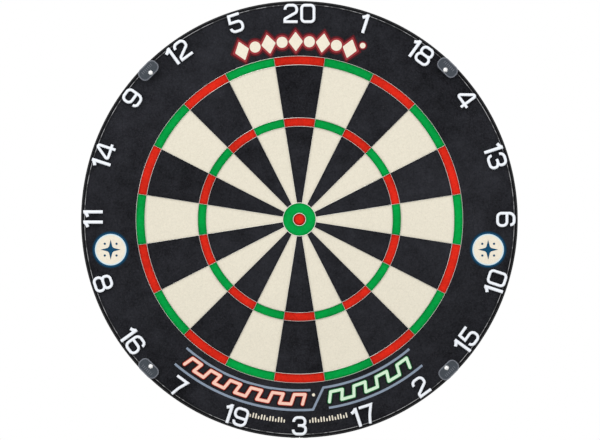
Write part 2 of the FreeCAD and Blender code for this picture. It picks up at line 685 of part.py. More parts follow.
def write_spider():
    """The wire blades that part the beds."""
    write("double_outer_wire", [ring_wire(DOUBLE_OUTER_R)])
    write("double_inner_wire", [ring_wire(DOUBLE_INNER_R)])
    write("treble_outer_wire", [ring_wire(TREBLE_OUTER_R)])
    write("treble_inner_wire", [ring_wire(TREBLE_INNER_R)])
    write("outer_bull_wire", [ring_wire(OUTER_BULL_R)])
    write("bull_wire", [ring_wire(BULL_R)])
    write("radial_blades", radial_blades())


def write_board():
    """Band, discs and hub."""
    write("steel_band", [steel_band()])
    write("band_strap", [band_strap()])
    write("band_rivets", band_rivets())
    write("backboard", [backboard()])
    write("sisal_core", [sisal_core()])
    write("sisal_surround", [sisal_surround()])
    write("hub_plate", [hub_plate()])
    write("hub_screws", hub_screws())
    write("hub_bush", [hub_bush()])
    write("hanging_stud", [hanging_stud()])


def write_number_ring():
    """The number ring, its clips and their pins."""
    write("number_hoop", [number_hoop()])
    write("numerals", numerals())
    for place, clock in enumerate(CLIP_CLOCK, start=1):
        write("ring_clip_" + str(place), [at_clock(ring_clip(), clock)])
        write("clip_pin_" + str(place), [at_clock(clip_pin(), clock)])


def write_feet():
    """Three levelling feet on the back."""
    for place, clock in enumerate(FOOT_CLOCK, start=1):
        write("foot_bracket_" + str(place), [at_clock(foot_bracket(), clock)])
        write("foot_axle_" + str(place), [at_clock(foot_axle(), clock)])
        write("foot_wheel_" + str(place), [at_clock(foot_wheel(), clock)])
    write("foot_screws", foot_screws())


os.makedirs("parts", exist_ok=True)
write_board()
write_beds()
write_spider()
write_number_ring()
write_feet()
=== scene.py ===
import json
import math

import bmesh
import bpy
from bpy.props import FloatProperty, FloatVectorProperty, PointerProperty
from mathutils import Matrix, Vector, noise


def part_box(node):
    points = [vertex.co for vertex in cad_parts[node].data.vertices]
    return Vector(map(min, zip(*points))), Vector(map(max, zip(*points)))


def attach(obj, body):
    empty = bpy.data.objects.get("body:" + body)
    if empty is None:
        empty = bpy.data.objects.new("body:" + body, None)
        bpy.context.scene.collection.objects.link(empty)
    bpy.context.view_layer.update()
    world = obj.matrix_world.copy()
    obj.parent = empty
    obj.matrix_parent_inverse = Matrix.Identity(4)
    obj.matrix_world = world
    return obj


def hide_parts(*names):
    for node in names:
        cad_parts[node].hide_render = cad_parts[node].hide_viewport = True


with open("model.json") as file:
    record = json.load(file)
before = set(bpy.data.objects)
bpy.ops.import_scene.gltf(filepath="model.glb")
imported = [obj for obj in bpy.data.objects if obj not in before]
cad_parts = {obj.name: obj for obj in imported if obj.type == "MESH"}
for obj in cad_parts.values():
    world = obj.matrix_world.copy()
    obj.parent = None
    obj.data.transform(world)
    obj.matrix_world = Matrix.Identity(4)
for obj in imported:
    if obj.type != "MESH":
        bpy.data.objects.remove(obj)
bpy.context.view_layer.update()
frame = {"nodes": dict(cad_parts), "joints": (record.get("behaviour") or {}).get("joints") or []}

bl_info = {
    "name": "Sisal dartboard",
    "version": (1, 0, 0),
    "blender": (4, 5, 0),
    "location": "3D View > Sidebar > Dartboard",
    "description": "Builds the visible pieces of a full-size sisal dartboard round its frame",
    "category": "Add Mesh",
}

MM = 0.001
SEGMENTS = 20
SEGMENT_DEG = 360 / SEGMENTS


# ---------- places taken from the frame
def half_width(node):
    """Half a round node's width: its outer radius."""
    low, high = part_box(node)
    return (high.x - low.x) / 2


def front(node):
    """The y of a node's side towards the player."""
    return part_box(node)[0].y


def rear(node):
    """The y of a node's side towards the wall."""
    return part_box(node)[1].y


FACE = front("double_beds_red")            # the playing face
BED_BACK = rear("double_beds_red")         # where the dyed beds end
WIRE_TOP = front("double_outer_wire")
BOARD_R = half_width("steel_band")
RING_WIRES = {wire: half_width(wire) for wire in (
    "double_outer_wire", "double_inner_wire", "treble_outer_wire", "treble_inner_wire",
    "outer_bull_wire", "bull_wire")}
# a bull bed ends at the inner side of its wire, so the two give the wires' thickness
WIRE_THICK = RING_WIRES["bull_wire"] - half_width("bullseye_bed")
RADIAL_HALF = 0.75 * WIRE_THICK / 2

EASE = 0.005 * MM                          # keeps turned outlines inside the frame's box
WELD = 0.001 * MM                          # points of a turned piece nearer than this are one
NODE_WELD = 0.002 * MM
LEVEL = 0.001 * MM                         # places nearer than this are level
SHELF_WIDTH = 1.7 * MM                     # the surround's step under the band's bead
SHELF_DEPTH = 2.7 * MM
BAND_WALL = 0.8 * MM
BAND_BEAD_R = 1.2 * MM
BAND_SEAM = 0.6 * MM
HOOP_WIDTH = 1.0 * MM
HOOP_ROUNDING = 0.18 * MM
RING_BLADE_CREST = 0.18 * MM               # half the width of a ring wire's crest
BULL_BLADE_CREST = 0.29 * MM
RADIAL_BLADE_CREST = 0.13 * MM
BLADE_SHOULDER = 0.3 * MM                  # where the blades' slopes start, below the face
CLIP_LENGTH = 23.6 * MM
CLIP_WIDTH = 13.7 * MM
CLIP_THICK = 2.2 * MM
CLIP_CORNER = 6.0 * MM
CLIP_BEVEL = 0.7 * MM
CLIP_HEM = 0.2 * MM
CLIP_RIM = 0.5 * MM
CLIP_FLOOR_SLOPE = 0.3 * MM
CLIP_FLOOR_DEPTH = 0.35 * MM
CLIP_BOSS_R = 2.3 * MM
CLIP_BOSS_ROOT = 0.5 * MM                  # how far the boss reaches up into the plate
CLIP_BOSS_BEVEL = 0.3 * MM
CLIP_NUMBERS = range(1, 5)
RIB_PITCH = 2.1 * MM
RIB_HALF_WIDTH = 0.35 * MM
RIB_HALF_LENGTH = 1.5 * MM
RIB_RISE = 0.20 * MM
RIB_ROOT = 0.3 * MM
RIB_BEVEL = 0.15 * MM
RIB_EDGE = 4.6 * MM                        # from the board's edge in to the ribs' middle
PIN_SHANK_R = 0.75 * MM
PIN_HOLE_R = 0.8 * MM
PIN_HEAD_R = 2.5 * MM
PIN_HEAD_HEIGHT = 1.6 * MM
PIN_POINT = 1.6 * MM
PIN_TIP_R = 0.1 * MM
FOOT_NUMBERS = range(1, 4)
FLOOR_HALF_WIDTH = 0.9
FLOOR_HALF_DEPTH = 0.7
FLOOR_THICK = 0.02
UPRIGHT = Matrix.Rotation(math.radians(90), 4, "X")    # stands a flat shape up, facing the player


def joint_place(name):
    """A hinge's point."""
    joint = next(j for j in frame["joints"] if j["name"] == name)
    return Vector(joint["pos_m"])


def clock_of(point):
    """A point's clock angle in degrees, from the top."""
    return math.degrees(math.atan2(point.x, point.z)) % 360


# ---------- settings
def colour_setting(name, description, default):
    """A colour."""
    return FloatVectorProperty(name=name, description=description, subtype="COLOR",
                               default=default, min=0, max=1)


def length_setting(name, description, default, **limits):
    """A length in metres."""
    return FloatProperty(name=name, description=description, unit="LENGTH", default=default,
                         **limits)


class SisalSettings(bpy.types.PropertyGroup):
    """Colours and surface of the compressed sisal."""

    black: colour_setting("Black", "Dyed black beds and surround", (0.0158, 0.0163, 0.0200))
    cream: colour_setting("Cream", "Pale beds", (0.705, 0.660, 0.548))
    red: colour_setting("Red", "Red doubles, trebles and bullseye", (0.595, 0.0185, 0.0080))
    green: colour_setting("Green", "Green doubles, trebles and outer bull", (0.0004, 0.290, 0.0480))
    raw: colour_setting("Raw", "Undyed core", (0.46, 0.36, 0.21))
    relief: length_setting("Relief", "Depth of the face's unevenness",
                           0.10 * MM, min=0, max=0.3 * MM)
    edge: length_setting("Edge", "Rounding of each bed along its wires",
                         0.40 * MM, min=0.05 * MM, max=1 * MM)
    crown: length_setting("Crown", "How far the beds fall back towards their wires",
                          0.15 * MM, min=0, max=0.5 * MM)
    # painted shade: the beds are darkened along their wires, where shade falls
    shade_width: length_setting("Shaded edge", "Width of the painted shade along the wires",
                                3.0 * MM, min=0.5 * MM, max=8 * MM)
    mesh: length_setting("Mesh", "Grid spacing of the face", 1.5 * MM, min=0.8 * MM, max=6 * MM)


class PrintSettings(bpy.types.PropertyGroup):
    """Inks and sizes of the printed decoration on the surround."""

    cream: colour_setting("Cream", "Fill of the lozenges and roundels", (0.760, 0.700, 0.580))
    red: colour_setting("Red", "Outline of the lozenges", (0.290, 0.034, 0.040))
    dark_red: colour_setting("Dark red", "Halo round the lozenges", (0.088, 0.0110, 0.0150))
    pale_blue: colour_setting("Pale blue", "Ring of the roundels", (0.560, 0.700, 0.760))
    blue: colour_setting("Blue", "Star and halo of the roundels", (0.0060, 0.060, 0.130))
    navy: colour_setting("Navy", "Fading edge of the roundels' halo", (0.0080, 0.0260, 0.0480))
    slate: colour_setting("Slate", "Pinstripes", (0.225, 0.275, 0.350))
    salmon: colour_setting("Salmon", "Left meander", (0.850, 0.540, 0.440))
    brick: colour_setting("Brick", "Outline of the left meander", (0.330, 0.028, 0.016))
    mint: colour_setting("Mint", "Right meander", (0.600, 0.780, 0.590))
    pine: colour_setting("Pine", "Outline of the right meander", (0.012, 0.150, 0.045))
    soot: colour_setting("Soot", "Dark halo of both meanders", (0.0085, 0.0080, 0.0090))
    inner_stripe: length_setting("Inner stripe", "Radius of the inner pinstripe", 177.3 * MM)
    outer_stripe: length_setting("Outer stripe", "Radius of the outer pinstripe", 197.7 * MM)
    stripe: length_setting("Stripe", "Width of the pinstripes", 2.4 * MM)


class FinishSettings(bpy.types.PropertyGroup):
    """Colours of the band, numbers, clips and fittings."""

    enamel: colour_setting("Band enamel", "Black enamel of the steel band",
                           (0.0080, 0.0082, 0.0095))
    # painted highlight: the colour painted along the hoop's crest, standing in for its glint
    painted_glint: colour_setting("Hoop glint", "Painted highlight along the hoop's crest", (0.380, 0.380, 0.390))
    number: colour_setting("Number enamel", "White enamel of the wire numbers",
                           (0.790, 0.820, 0.870))
    smoke: colour_setting("Clip smoke", "Smoke-grey plastic of the clips", (0.0330, 0.0430, 0.0560))
    # painted highlight: the lighter colour of the clips' rim stands in for light caught on its
    # bevel
    smoke_rim_highlight: colour_setting("Clip rim highlight", "Painted highlight along the clips' rim",
                               (0.1300, 0.1400, 0.1650))
    steel: colour_setting("Bright steel", "Drawn steel of the wires", (0.86, 0.85, 0.80))
    bull_steel: colour_setting("Bull steel", "Satin steel of the two bull wires",
                               (0.95, 0.95, 0.90))
    zinc: colour_setting("Zinc", "Zinc-plated fittings on the back", (0.56, 0.57, 0.58))
    nickel: colour_setting("Nickel", "Clip pins", (0.97, 0.97, 0.97))
    plastic: colour_setting("Black plastic", "Thumb wheels of the levelling feet",
                            (0.018, 0.018, 0.020))


class StageSettings(bpy.types.PropertyGroup):
    """Camera, lights and floor."""

    distance: length_setting("Camera distance", "From the face to the camera", 6.0)
    frame_width: length_setting("Frame width", "Width of the picture at the face", 0.6221)
    aim_x: length_setting("Aim across", "Camera's place beside the axis", 0.6 * MM)
    aim_z: length_setting("Aim up", "Camera's place above the axis", -0.6 * MM)
    world: FloatProperty(
        name="World", description="Strength of the white surroundings", default=1.0)
    key: FloatProperty(
        name="Key light", description="Soft light from above the player", unit="POWER",
        default=24.0)
    fill: FloatProperty(
        name="Fill light", description="Soft light from the left", unit="POWER", default=9.5)
    floor_depth: length_setting("Floor", "From the board's axis down to the floor", 0.30)


class DartboardSettings(bpy.types.PropertyGroup):
    """All settings of the dartboard."""

    sisal: PointerProperty(type=SisalSettings, name="Sisal", description="Sisal beds")
    prints: PointerProperty(type=PrintSettings, name="Prints", description="Printed decoration")
    finish: PointerProperty(type=FinishSettings, name="Finishes", description="Other finishes")
    stage: PointerProperty(type=StageSettings, name="Stage", description="Camera and lights")


def settings():
    """The settings held by the scene."""
    return bpy.context.scene.dartboard


# ---------- shader maths
class Signal:
    """A number that varies over a surface; arithmetic on it adds Math nodes."""

    def __init__(self, shader, socket):
        self.shader = shader
        self.socket = socket

    def maths(self, operation, *values):
        """One Math node on these values."""
        inputs = dict(enumerate(values))
        node = self.shader.add("ShaderNodeMath", {"operation": operation}, inputs)
        return Signal(self.shader, node.outputs[0])

    def __add__(self, other):
        return self.maths("ADD", self, other)

    __radd__ = __add__

    def __sub__(self, other):
        return self.maths("SUBTRACT", self, other)

    def __rsub__(self, other):
        return self.maths("SUBTRACT", other, self)

    def __mul__(self, other):
        return self.maths("MULTIPLY", self, other)

    __rmul__ = __mul__

    def __pow__(self, other):
        return self.maths("POWER", self, other)

    def at_least(self, least):
        """The larger of this and a number."""
        return self.maths("MAXIMUM", self, least)

    def step(self, low, high):
        """0 below low, 1 above high and smooth between."""
        options = {"interpolation_type": "SMOOTHSTEP"}
        node = self.shader.add("ShaderNodeMapRange", options,
                               {"Value": self, "From Min": low, "From Max": high})
        return Signal(self.shader, node.outputs["Result"])


class Shader:
    """One material and its nodes."""

    def __init__(self, name, **constants):
        self.material = bpy.data.materials.new(name)
        self.material.use_nodes = True
        self.tree = self.material.node_tree
        self.surface = self.tree.nodes["Principled BSDF"]
        for socket, value in constants.items():
            self.surface.inputs[socket.replace("_", " ")].default_value = value
        place = self.add("ShaderNodeTexCoord", {}, {})
        self.place = place.outputs["Object"]

    def add(self, kind, options, inputs):
        """A node with its options set first, then its sockets' values or links."""
        node = self.tree.nodes.new(kind)
        for option, value in options.items():
            if option == "stops":
                self.set_stops(node.color_ramp, value)
            else:
                setattr(node, option, value)
        for name, value in inputs.items():
            self.feed(node.inputs[name], value)
        return node

    @staticmethod
    def set_stops(ramp, stops):
        """A ramp's (position, colour) stops."""
        while len(ramp.elements) < len(stops):
            ramp.elements.new(0.5)
        for element, (position, colour) in zip(ramp.elements, stops):
            element.position = position
            element.color = (*colour, 1)

    def feed(self, socket, value):
        """Sets a socket's value, or links it."""
        if isinstance(value, Signal):
            value = value.socket
        if isinstance(value, bpy.types.NodeSocket):
            self.tree.links.new(value, socket)
        else:
            socket.default_value = value

    def noise(self, per_metre, detail, roughness):
        """Cloudy noise, about 0.5 on average."""
        node = self.add("ShaderNodeTexNoise", {"noise_dimensions": "3D"},
                        {"Vector": self.place, "Scale": per_metre, "Detail": detail,
                         "Roughness": roughness})
        return Signal(self, node.outputs[0])

    def cells(self, per_metre, feature="F1", output="Distance", place=None):
        """A cell pattern's distance, or its random colour."""
        node = self.add("ShaderNodeTexVoronoi", {"feature": feature},
                        {"Vector": place or self.place, "Scale": per_metre})
        return node.outputs[output]

    def stretched(self, x, y, z):
        """The surface's place, scaled along each axis."""
        node = self.add("ShaderNodeMapping", {"vector_type": "POINT"},
                        {"Vector": self.place, "Scale": (x, y, z)})
        return node.outputs[0]

    def radius(self):
        """The distance from the board's axis."""
        parts = self.add("ShaderNodeSeparateXYZ", {}, {"Vector": self.place})
        x, z = Signal(self, parts.outputs["X"]), Signal(self, parts.outputs["Z"])
        return (x * x + z * z) ** 0.5

    def painted(self, layer):
        """A number kept on the piece's own vertices."""
        node = self.add("ShaderNodeAttribute", {"attribute_name": layer}, {})
        return Signal(self, node.outputs["Fac"])

    def toned(self, colour, tone):
        """A colour made lighter or darker by a number."""
        node = self.add("ShaderNodeVectorMath", {"operation": "SCALE"},
                        {0: colour, "Scale": tone})
        return node.outputs[0]

    def mixed(self, share, first, second):
        """The second colour laid over the first."""
        node = self.add("ShaderNodeMix", {"data_type": "RGBA"}, {0: share, 6: first, 7: second})
        return node.outputs[2]

    def bump(self, height, strength, depth):
        """A Bump node's normal."""
        node = self.add("ShaderNodeBump", {}, {"Height": height, "Strength": strength,
                                               "Distance": depth})
        return node.outputs[0]

    def finish(self, **links):
        """Links to the surface's own sockets, and the material."""
        for socket, value in links.items():
            self.feed(self.surface.inputs[socket.replace("_", " ")], value)
        return self.material


def opaque(colour):
    """A colour with its alpha."""
    return (*colour, 1)


def sisal(name, colour, fleck, grain, clouding, shading=0.0):
    """Compressed sisal: fibre ends, flecks, cloudy dye, and painted shade along the wires."""
    shader = Shader(name, Specular_IOR_Level=0.04)
    fibres = shader.noise(1300, 3.0, 0.65)
    streaks = shader.noise(480, 2.0, 0.6)
    clouds = shader.noise(60, 4.0, 0.65)
    drifts = shader.noise(9, 1.0, 0.5)
    joints = Signal(shader, shader.cells(85, "DISTANCE_TO_EDGE")).step(0.0, 0.05)
    tone = 1 + (fibres - 0.5) * grain + (streaks - 0.5) * (grain * 0.8)
    tone = tone + (clouds - 0.5) * clouding + (drifts - 0.5) * (clouding * 0.7)
    tone = tone * (1 - (1 - joints) * (grain * 0.10))
    # painted shade: the dye is made darker near the wires, standing in for the shade beside them
    if shading:
        depth = shader.painted("inset").step(0.0, settings().sisal.shade_width)
        tone = tone * (depth * shading + (1 - shading))
    flecks = shader.noise(900, 1.0, 0.4).step(0.63, 0.72)
    base = shader.mixed(flecks * 0.35, shader.toned(colour, tone.at_least(0.2)), opaque(fleck))
    height = fibres * 0.7 + streaks * 0.5 + joints * 0.15
    roughness = 0.82 + (fibres - 0.5) * 0.25
    return shader.finish(Base_Color=base, Roughness=roughness,
                         Normal=shader.bump(height, 0.35, 0.25 * MM))


# fleck colour, grain and clouding of each dye
BLACK_SISAL = ((0.055, 0.053, 0.055), 1.4, 1.5)
CREAM_SISAL = ((0.50, 0.42, 0.29), 0.26, 0.05)
RED_SISAL = ((0.66, 0.045, 0.020), 0.62, 0.75)
GREEN_SISAL = ((0.004, 0.33, 0.075), 0.60, 0.58)
RAW_SISAL = ((0.62, 0.52, 0.34), 0.5, 0.2)


def sisal_colours():
    """The five sisal materials by slot."""
    tints = settings().sisal
    return {
        # shading is the strength of the painted shade along each colour's wires
        "sisal_black": sisal("black_sisal", tints.black, *BLACK_SISAL, shading=0.10),
        "sisal_cream": sisal("cream_sisal", tints.cream, *CREAM_SISAL, shading=0.08),
        "sisal_red": sisal("red_sisal", tints.red, *RED_SISAL, shading=0.26),
        "sisal_green": sisal("green_sisal", tints.green, *GREEN_SISAL, shading=0.26),
        "sisal_raw": sisal("raw_sisal", tints.raw, *RAW_SISAL),
    }


def ink(name, colour):
    """Ink printed on the sisal, with the fibres showing through."""
    fleck = tuple(channel * 0.8 for channel in colour)
    return sisal(name, colour, fleck, 0.22, 0.08)


def enamel(name, colour, roughness, wear, shine=0.35):
    """Stoved enamel on steel, with a faint orange-peel surface."""
    shader = Shader(name, Specular_IOR_Level=shine)
    peel = shader.noise(700, 2.0, 0.5)
    smears = shader.noise(45, 3.0, 0.6)
    base = shader.toned(colour, 1 + (smears - 0.5) * wear)
    return shader.finish(Base_Color=base, Roughness=roughness + (smears - 0.5) * 0.16,
                         Normal=shader.bump(peel, 0.10, 0.05 * MM))


def enamel_with_painted_glint(name, colour, glint_colour, radius):
    """Black enamel on the hoop, with a painted highlight in broken stretches along the middle of
    its front.
    """
    shader = Shader(name, Specular_IOR_Level=0.3)
    offset = shader.radius() - radius
    crest = 1 - (offset * offset).step((0.12 * MM) ** 2, (0.28 * MM) ** 2)
    stretches = shader.noise(105, 3.0, 0.7).step(0.44, 0.56)
    # painted highlight: the crest is made bright in stretches, standing in for the hoop's glint
    painted_glint = crest * (stretches * 0.85 + 0.15)
    base = shader.mixed(painted_glint, opaque(colour), opaque(glint_colour))
    peel = shader.noise(900, 2.0, 0.5)
    return shader.finish(Base_Color=base, Roughness=0.5 - painted_glint * 0.1,
                         Normal=shader.bump(peel, 0.12, 0.05 * MM))


def steel(name, colour, roughness, grain):
    """Plated or drawn steel with fine grain marks and a cloudy sheen."""
    shader = Shader(name, Metallic=1.0)
    fine = shader.noise(grain, 2.0, 0.6)
    clouds = shader.noise(60, 3.0, 0.55)
    base = shader.toned(colour, 1 + (clouds - 0.5) * 0.18)
    rough = roughness + (clouds - 0.5) * 0.14 + (fine - 0.5) * 0.10
    return shader.finish(Base_Color=base, Roughness=rough,
                         Normal=shader.bump(fine, 0.12, 0.03 * MM))


def smoke_plastic():
    """Smoke-grey plastic, with a painted highlight along its thick rim."""
    finish = settings().finish
    shader = Shader("smoke_plastic", Transmission_Weight=0.06, IOR=1.49,
                    Specular_IOR_Level=0.40)
    haze = shader.noise(220, 2.0, 0.5)
    # painted highlight: the rim gets a lighter colour where its bevel catches light
    rim = shader.painted("rim")
    tint = shader.mixed(rim, opaque(finish.smoke), opaque(finish.smoke_rim_highlight))
    base = shader.toned(tint, 1 + (haze - 0.5) * 0.30)
    grain = shader.noise(2600, 1.0, 0.5)
    return shader.finish(Base_Color=base, Roughness=0.40 + (haze - 0.5) * 0.15,
                         Normal=shader.bump(grain, 0.10, 0.02 * MM))


def black_plastic():
    """Moulded black plastic with a fine spark-eroded grain."""
    shader = Shader("black_plastic", Specular_IOR_Level=0.4)
    grain = shader.noise(1800, 2.0, 0.6)
    base = shader.toned(settings().finish.plastic, 1 + (grain - 0.5) * 0.5)
    return shader.finish(Base_Color=base, Roughness=0.5 + (grain - 0.5) * 0.2,
                         Normal=shader.bump(grain, 0.25, 0.05 * MM))


def chipboard():
    """Sanded chipboard: flat pressed chips of several browns, with darker bark specks."""
    shader = Shader("chipboard", Specular_IOR_Level=0.2)
    warp = shader.noise(260, 2.0, 0.5)
    chips = shader.cells(330, "F1", "Color", shader.stretched(1.0, 0.25, 0.6))
    tint = shader.add("ShaderNodeSeparateColor", {}, {"Color": chips})
    shade = Signal(shader, tint.outputs[0])
    small = Signal(shader, shader.cells(900))
    ramp = shader.add("ShaderNodeValToRGB", {"stops": [
        (0.0, (0.245, 0.150, 0.075)), (0.45, (0.400, 0.270, 0.145)),
        (0.8, (0.500, 0.360, 0.205)), (1.0, (0.560, 0.430, 0.270))]},
        {"Fac": shade * 0.75 + warp * 0.25})
    bark = shader.noise(520, 1.0, 0.3).step(0.66, 0.72)
    base = shader.mixed(bark * 0.55, ramp.outputs[0], (0.10, 0.055, 0.028, 1))
    return shader.finish(Base_Color=base, Roughness=0.72 + (shade - 0.5) * 0.15,
                         Normal=shader.bump(small * 0.5 + shade * 0.5, 0.25, 0.12 * MM))


# ---------- mesh helpers
def clock(angle):
    """The turn from the top of the board to a clock angle."""
    return Matrix.Rotation(math.radians(angle), 4, "Y")


def clock_point(radius, angle):
    """A point at a radius and a clock angle."""
    return clock(angle) @ Vector((0, 0, radius))


def clock_place(radius, angle):
    """The same point as a place, turned with its angle."""
    return clock(angle) @ Matrix.Translation((0, 0, radius))


def lathe(bm, outline, start=0.0, sweep=360.0, steps=48, closed=True, centre=None):
    """Turns an outline of (radius, y) points about an axis along Y, and closes its ends.

    Returns the edges of the two ends, which a full turn hasn't got.
    """
    centre = centre or Vector((0, 0, 0))
    turn = Matrix.Translation(centre) @ clock(start)
    verts = [bm.verts.new(turn @ Vector((0, y, radius))) for radius, y in outline]
    edges = [bm.edges.new(pair) for pair in zip(verts, verts[1:])]
    if closed:
        edges.append(bm.edges.new((verts[-1], verts[0])))
    full = sweep >= 360
    spun = bmesh.ops.spin(bm, geom=verts + edges, cent=centre, axis=(0, 1, 0),
                          angle=math.radians(sweep), steps=steps, use_merge=full)
    if full or not closed:
        return []
    last = [e for e in spun["geom_last"] if isinstance(e, bmesh.types.BMEdge)]
    bmesh.ops.contextual_create(bm, geom=edges)
    bmesh.ops.contextual_create(bm, geom=last)
    return edges + last


def turned(bm, outline, steps, centre=None):
    """A solid turned from an outline whose ends lie on its axis."""
    lathe(bm, outline, steps=steps, closed=False, centre=centre)
    bmesh.ops.remove_doubles(bm, verts=bm.verts, dist=WELD)


def arc_points(centre, radius, start, end, count):
    """Points of an arc in the (radius, y) plane; 0 degrees points outwards, 90 to the player."""
    points = []
    for k in range(count + 1):
        angle = math.radians(start + (end - start) * k / count)
        points.append((centre[0] + radius * math.cos(angle), centre[1] - radius * math.sin(angle)))
    return points


def rounded_bar(inner, outer, top, bottom, rounding, across=1):
    """A bar's section: square at the back, rounded at the face, its face divided."""
    left = arc_points((inner + rounding, top + rounding), rounding, 180, 90, 3)
    right = arc_points((outer - rounding, top + rounding), rounding, 90, 0, 3)
    width = outer - inner - 2 * rounding
    middle = [(inner + rounding + width * k / across, top) for k in range(1, across)]
    return [(inner, bottom)] + left + middle + right + [(outer, bottom)]


def bevelled(bm, edges, offset, segments=2):
    """Rounds edges."""
    bmesh.ops.bevel(bm, geom=edges, offset=offset, segments=segments, profile=0.5,
                    affect="EDGES", clamp_overlap=True, material=-1)


def block(bm, low, high):
    """A box between two corners; returns its vertices."""
    low, high = Vector(low), Vector(high)
    size = high - low
    place = Matrix.Translation((low + high) / 2) @ Matrix.Diagonal((*size, 1))
    return bmesh.ops.create_cube(bm, size=1, matrix=place)["verts"]


def combine(base, operation, others):
    """Joins closed meshes to a base, or cuts them out of it, for good."""
    modifiers = []
    for other in others:
        modifier = base.modifiers.new("combine", "BOOLEAN")
        modifier.operation = operation
        modifier.solver = "EXACT"
        modifier.object = other
        modifiers.append(modifier)
    graph = bpy.context.evaluated_depsgraph_get()
    combined = bpy.data.meshes.new_from_object(base.evaluated_get(graph))
    for modifier in modifiers:
        base.modifiers.remove(modifier)
    base.data = combined
    for other in others:
        bpy.data.objects.remove(other)


def mark_sharp(bm, degrees):
    """Smooth faces, with sharp edges past an angle."""
    limit = math.radians(degrees)
    for face in bm.faces:
        face.smooth = True
    for edge in bm.edges:
        angle = edge.calc_face_angle(0.0) if len(edge.link_faces) == 2 else math.pi
        edge.smooth = angle < limit


def loose_object(name, bm):
    """A linked object with a finished mesh, its normals outwards."""
    bmesh.ops.recalc_face_normals(bm, faces=bm.faces)
    mesh = bpy.data.meshes.new(name)
    bm.to_mesh(mesh)
    bm.free()
    made = bpy.data.objects.new(name, mesh)
    bpy.context.scene.collection.objects.link(made)
    return made


def pin_bore(place, y_from, y_to, segments):
    """A closed cutter for a pin's hole, between two places along the board's axis."""
    bm = bmesh.new()
    middle = Matrix.Translation((place.x, (y_from + y_to) / 2, place.z))
    bmesh.ops.create_cone(bm, cap_ends=True, segments=segments, radius1=PIN_HOLE_R,
                          radius2=PIN_HOLE_R, depth=y_to - y_from, matrix=middle @ UPRIGHT)
    return loose_object("pin_bore_cutter", bm)


def piece(name, bm, body, material, stands_for=(), sharp=35.0):
    """A finished piece: smooth, with its material, riding on its body."""
    bmesh.ops.recalc_face_normals(bm, faces=bm.faces)
    mark_sharp(bm, sharp)
    made = loose_object(name, bm)
    made.data.materials.clear()
    made.data.materials.append(material)
    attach(made, body)
    if stands_for:
        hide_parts(*stands_for)
    return made


def smooth_copy(name, node, body, material, rounding=0.0, sharp=30.0):
    """A welded, smooth-shaded copy of a frame node, its sharp edges eased."""
    bm = bmesh.new()
    bm.from_mesh(frame["nodes"][node].data)
    bmesh.ops.remove_doubles(bm, verts=bm.verts, dist=NODE_WELD)
    bmesh.ops.dissolve_limit(bm, angle_limit=math.radians(0.5), verts=bm.verts, edges=bm.edges)
    if rounding:
        limit = math.radians(40)
        edges = [e for e in bm.edges if len(e.link_faces) == 2 and e.calc_face_angle(0) > limit]
        bevelled(bm, edges, rounding)
    return piece(name, bm, body, material, (node,), sharp)


def plain_node(node, material):
    """A frame node that stays as it is, with its material."""
    mesh = frame["nodes"][node].data
    mesh.materials.clear()
    mesh.materials.append(material)


def keep_number(bm, layer, value):
    """Keeps a number on every vertex, for the piece's material."""
    numbers = bm.verts.layers.float.new(layer)
    for vert in bm.verts:
        vert[numbers] = value(vert.co)


# ---------- sisal
def unevenness(point, depth):
    """How far the face lies back at a point: fine and broad waves, never proud."""
    fine = noise.noise(point * 420)
    broad = noise.noise(point * 95)
    return depth * (0.5 + 0.35 * fine + 0.30 * broad)


def inset(point, outer, inner, sectors):
    """How far a point lies from the nearest wire round its bed."""
    radius = math.hypot(point.x, point.z)
    gaps = [outer - radius]
    if inner:
        gaps.append(radius - inner)
    if sectors:
        from_middle = (clock_of(point) + SEGMENT_DEG / 2) % SEGMENT_DEG - SEGMENT_DEG / 2
        to_blade = math.radians(SEGMENT_DEG / 2 - abs(from_middle))
        gaps.append(radius * math.sin(to_blade) - WIRE_THICK / 2)
    return max(0.0, min(gaps))


def dress(bm, outer, inner, sectors):
    """Presses a bed's face back unevenly, more along its wires, and notes the distances."""
    tuning = settings().sisal
    for vert in bm.verts:
        if vert.co.y < FACE + 0.02 * MM:
            fall = tuning.crown * math.exp(-inset(vert.co, outer, inner, sectors) / (1.2 * MM))
            vert.co.y = FACE + fall + max(0.0, unevenness(vert.co, tuning.relief))
    keep_number(bm, "inset", lambda point: inset(point, outer, inner, sectors))


def bed(bm, outer, inner, middle_angle, tuning):
    """One bed: a sector with rounded edges along its wires."""
    gap = math.degrees(WIRE_THICK / 2 / outer)
    across = max(1, round((outer - inner) / tuning.mesh))
    sweep = SEGMENT_DEG - 2 * gap
    steps = max(3, round(math.radians(sweep) * outer / tuning.mesh))
    outline = rounded_bar(inner, outer, FACE, BED_BACK, tuning.edge, across)
    ends = lathe(bm, outline, middle_angle - sweep / 2, sweep, steps)
    face_ends = [e for e in ends if all(v.co.y < FACE + 0.1 * tuning.edge for v in e.verts)]
    bevelled(bm, face_ends, tuning.edge)


def bed_group(name, node, outer, inner, first, material):
    """Ten beds of one colour, every second segment."""
    bm = bmesh.new()
    for k in range(SEGMENTS // 2):
        bed(bm, outer, inner, SEGMENT_DEG * (first + 2 * k), settings().sisal)
    dress(bm, outer, inner, True)
    piece(name, bm, "board", material, (node,))


def round_bed(name, node, outer, inner, material):
    """A bull bed: a disc, or a ring."""
    tuning = settings().sisal
    bm = bmesh.new()
    if inner:
        across = round((outer - inner) / (tuning.mesh / 2))
        lathe(bm, rounded_bar(inner, outer, FACE, BED_BACK, tuning.edge, across), steps=72)
    else:
        edge = 2 * tuning.edge
        rim = arc_points((outer - edge, FACE + edge), edge, 90, 0, 4)
        rings = [(outer * k / 7, FACE) for k in range(6)]
        turned(bm, rings + rim + [(outer, BED_BACK), (0.0, BED_BACK)], 48)
    dress(bm, outer, inner, False)
    piece(name, bm, "board", material, (node,))


def inside(wire):
    """The radius just inside a ring wire."""
    return RING_WIRES[wire] - WIRE_THICK


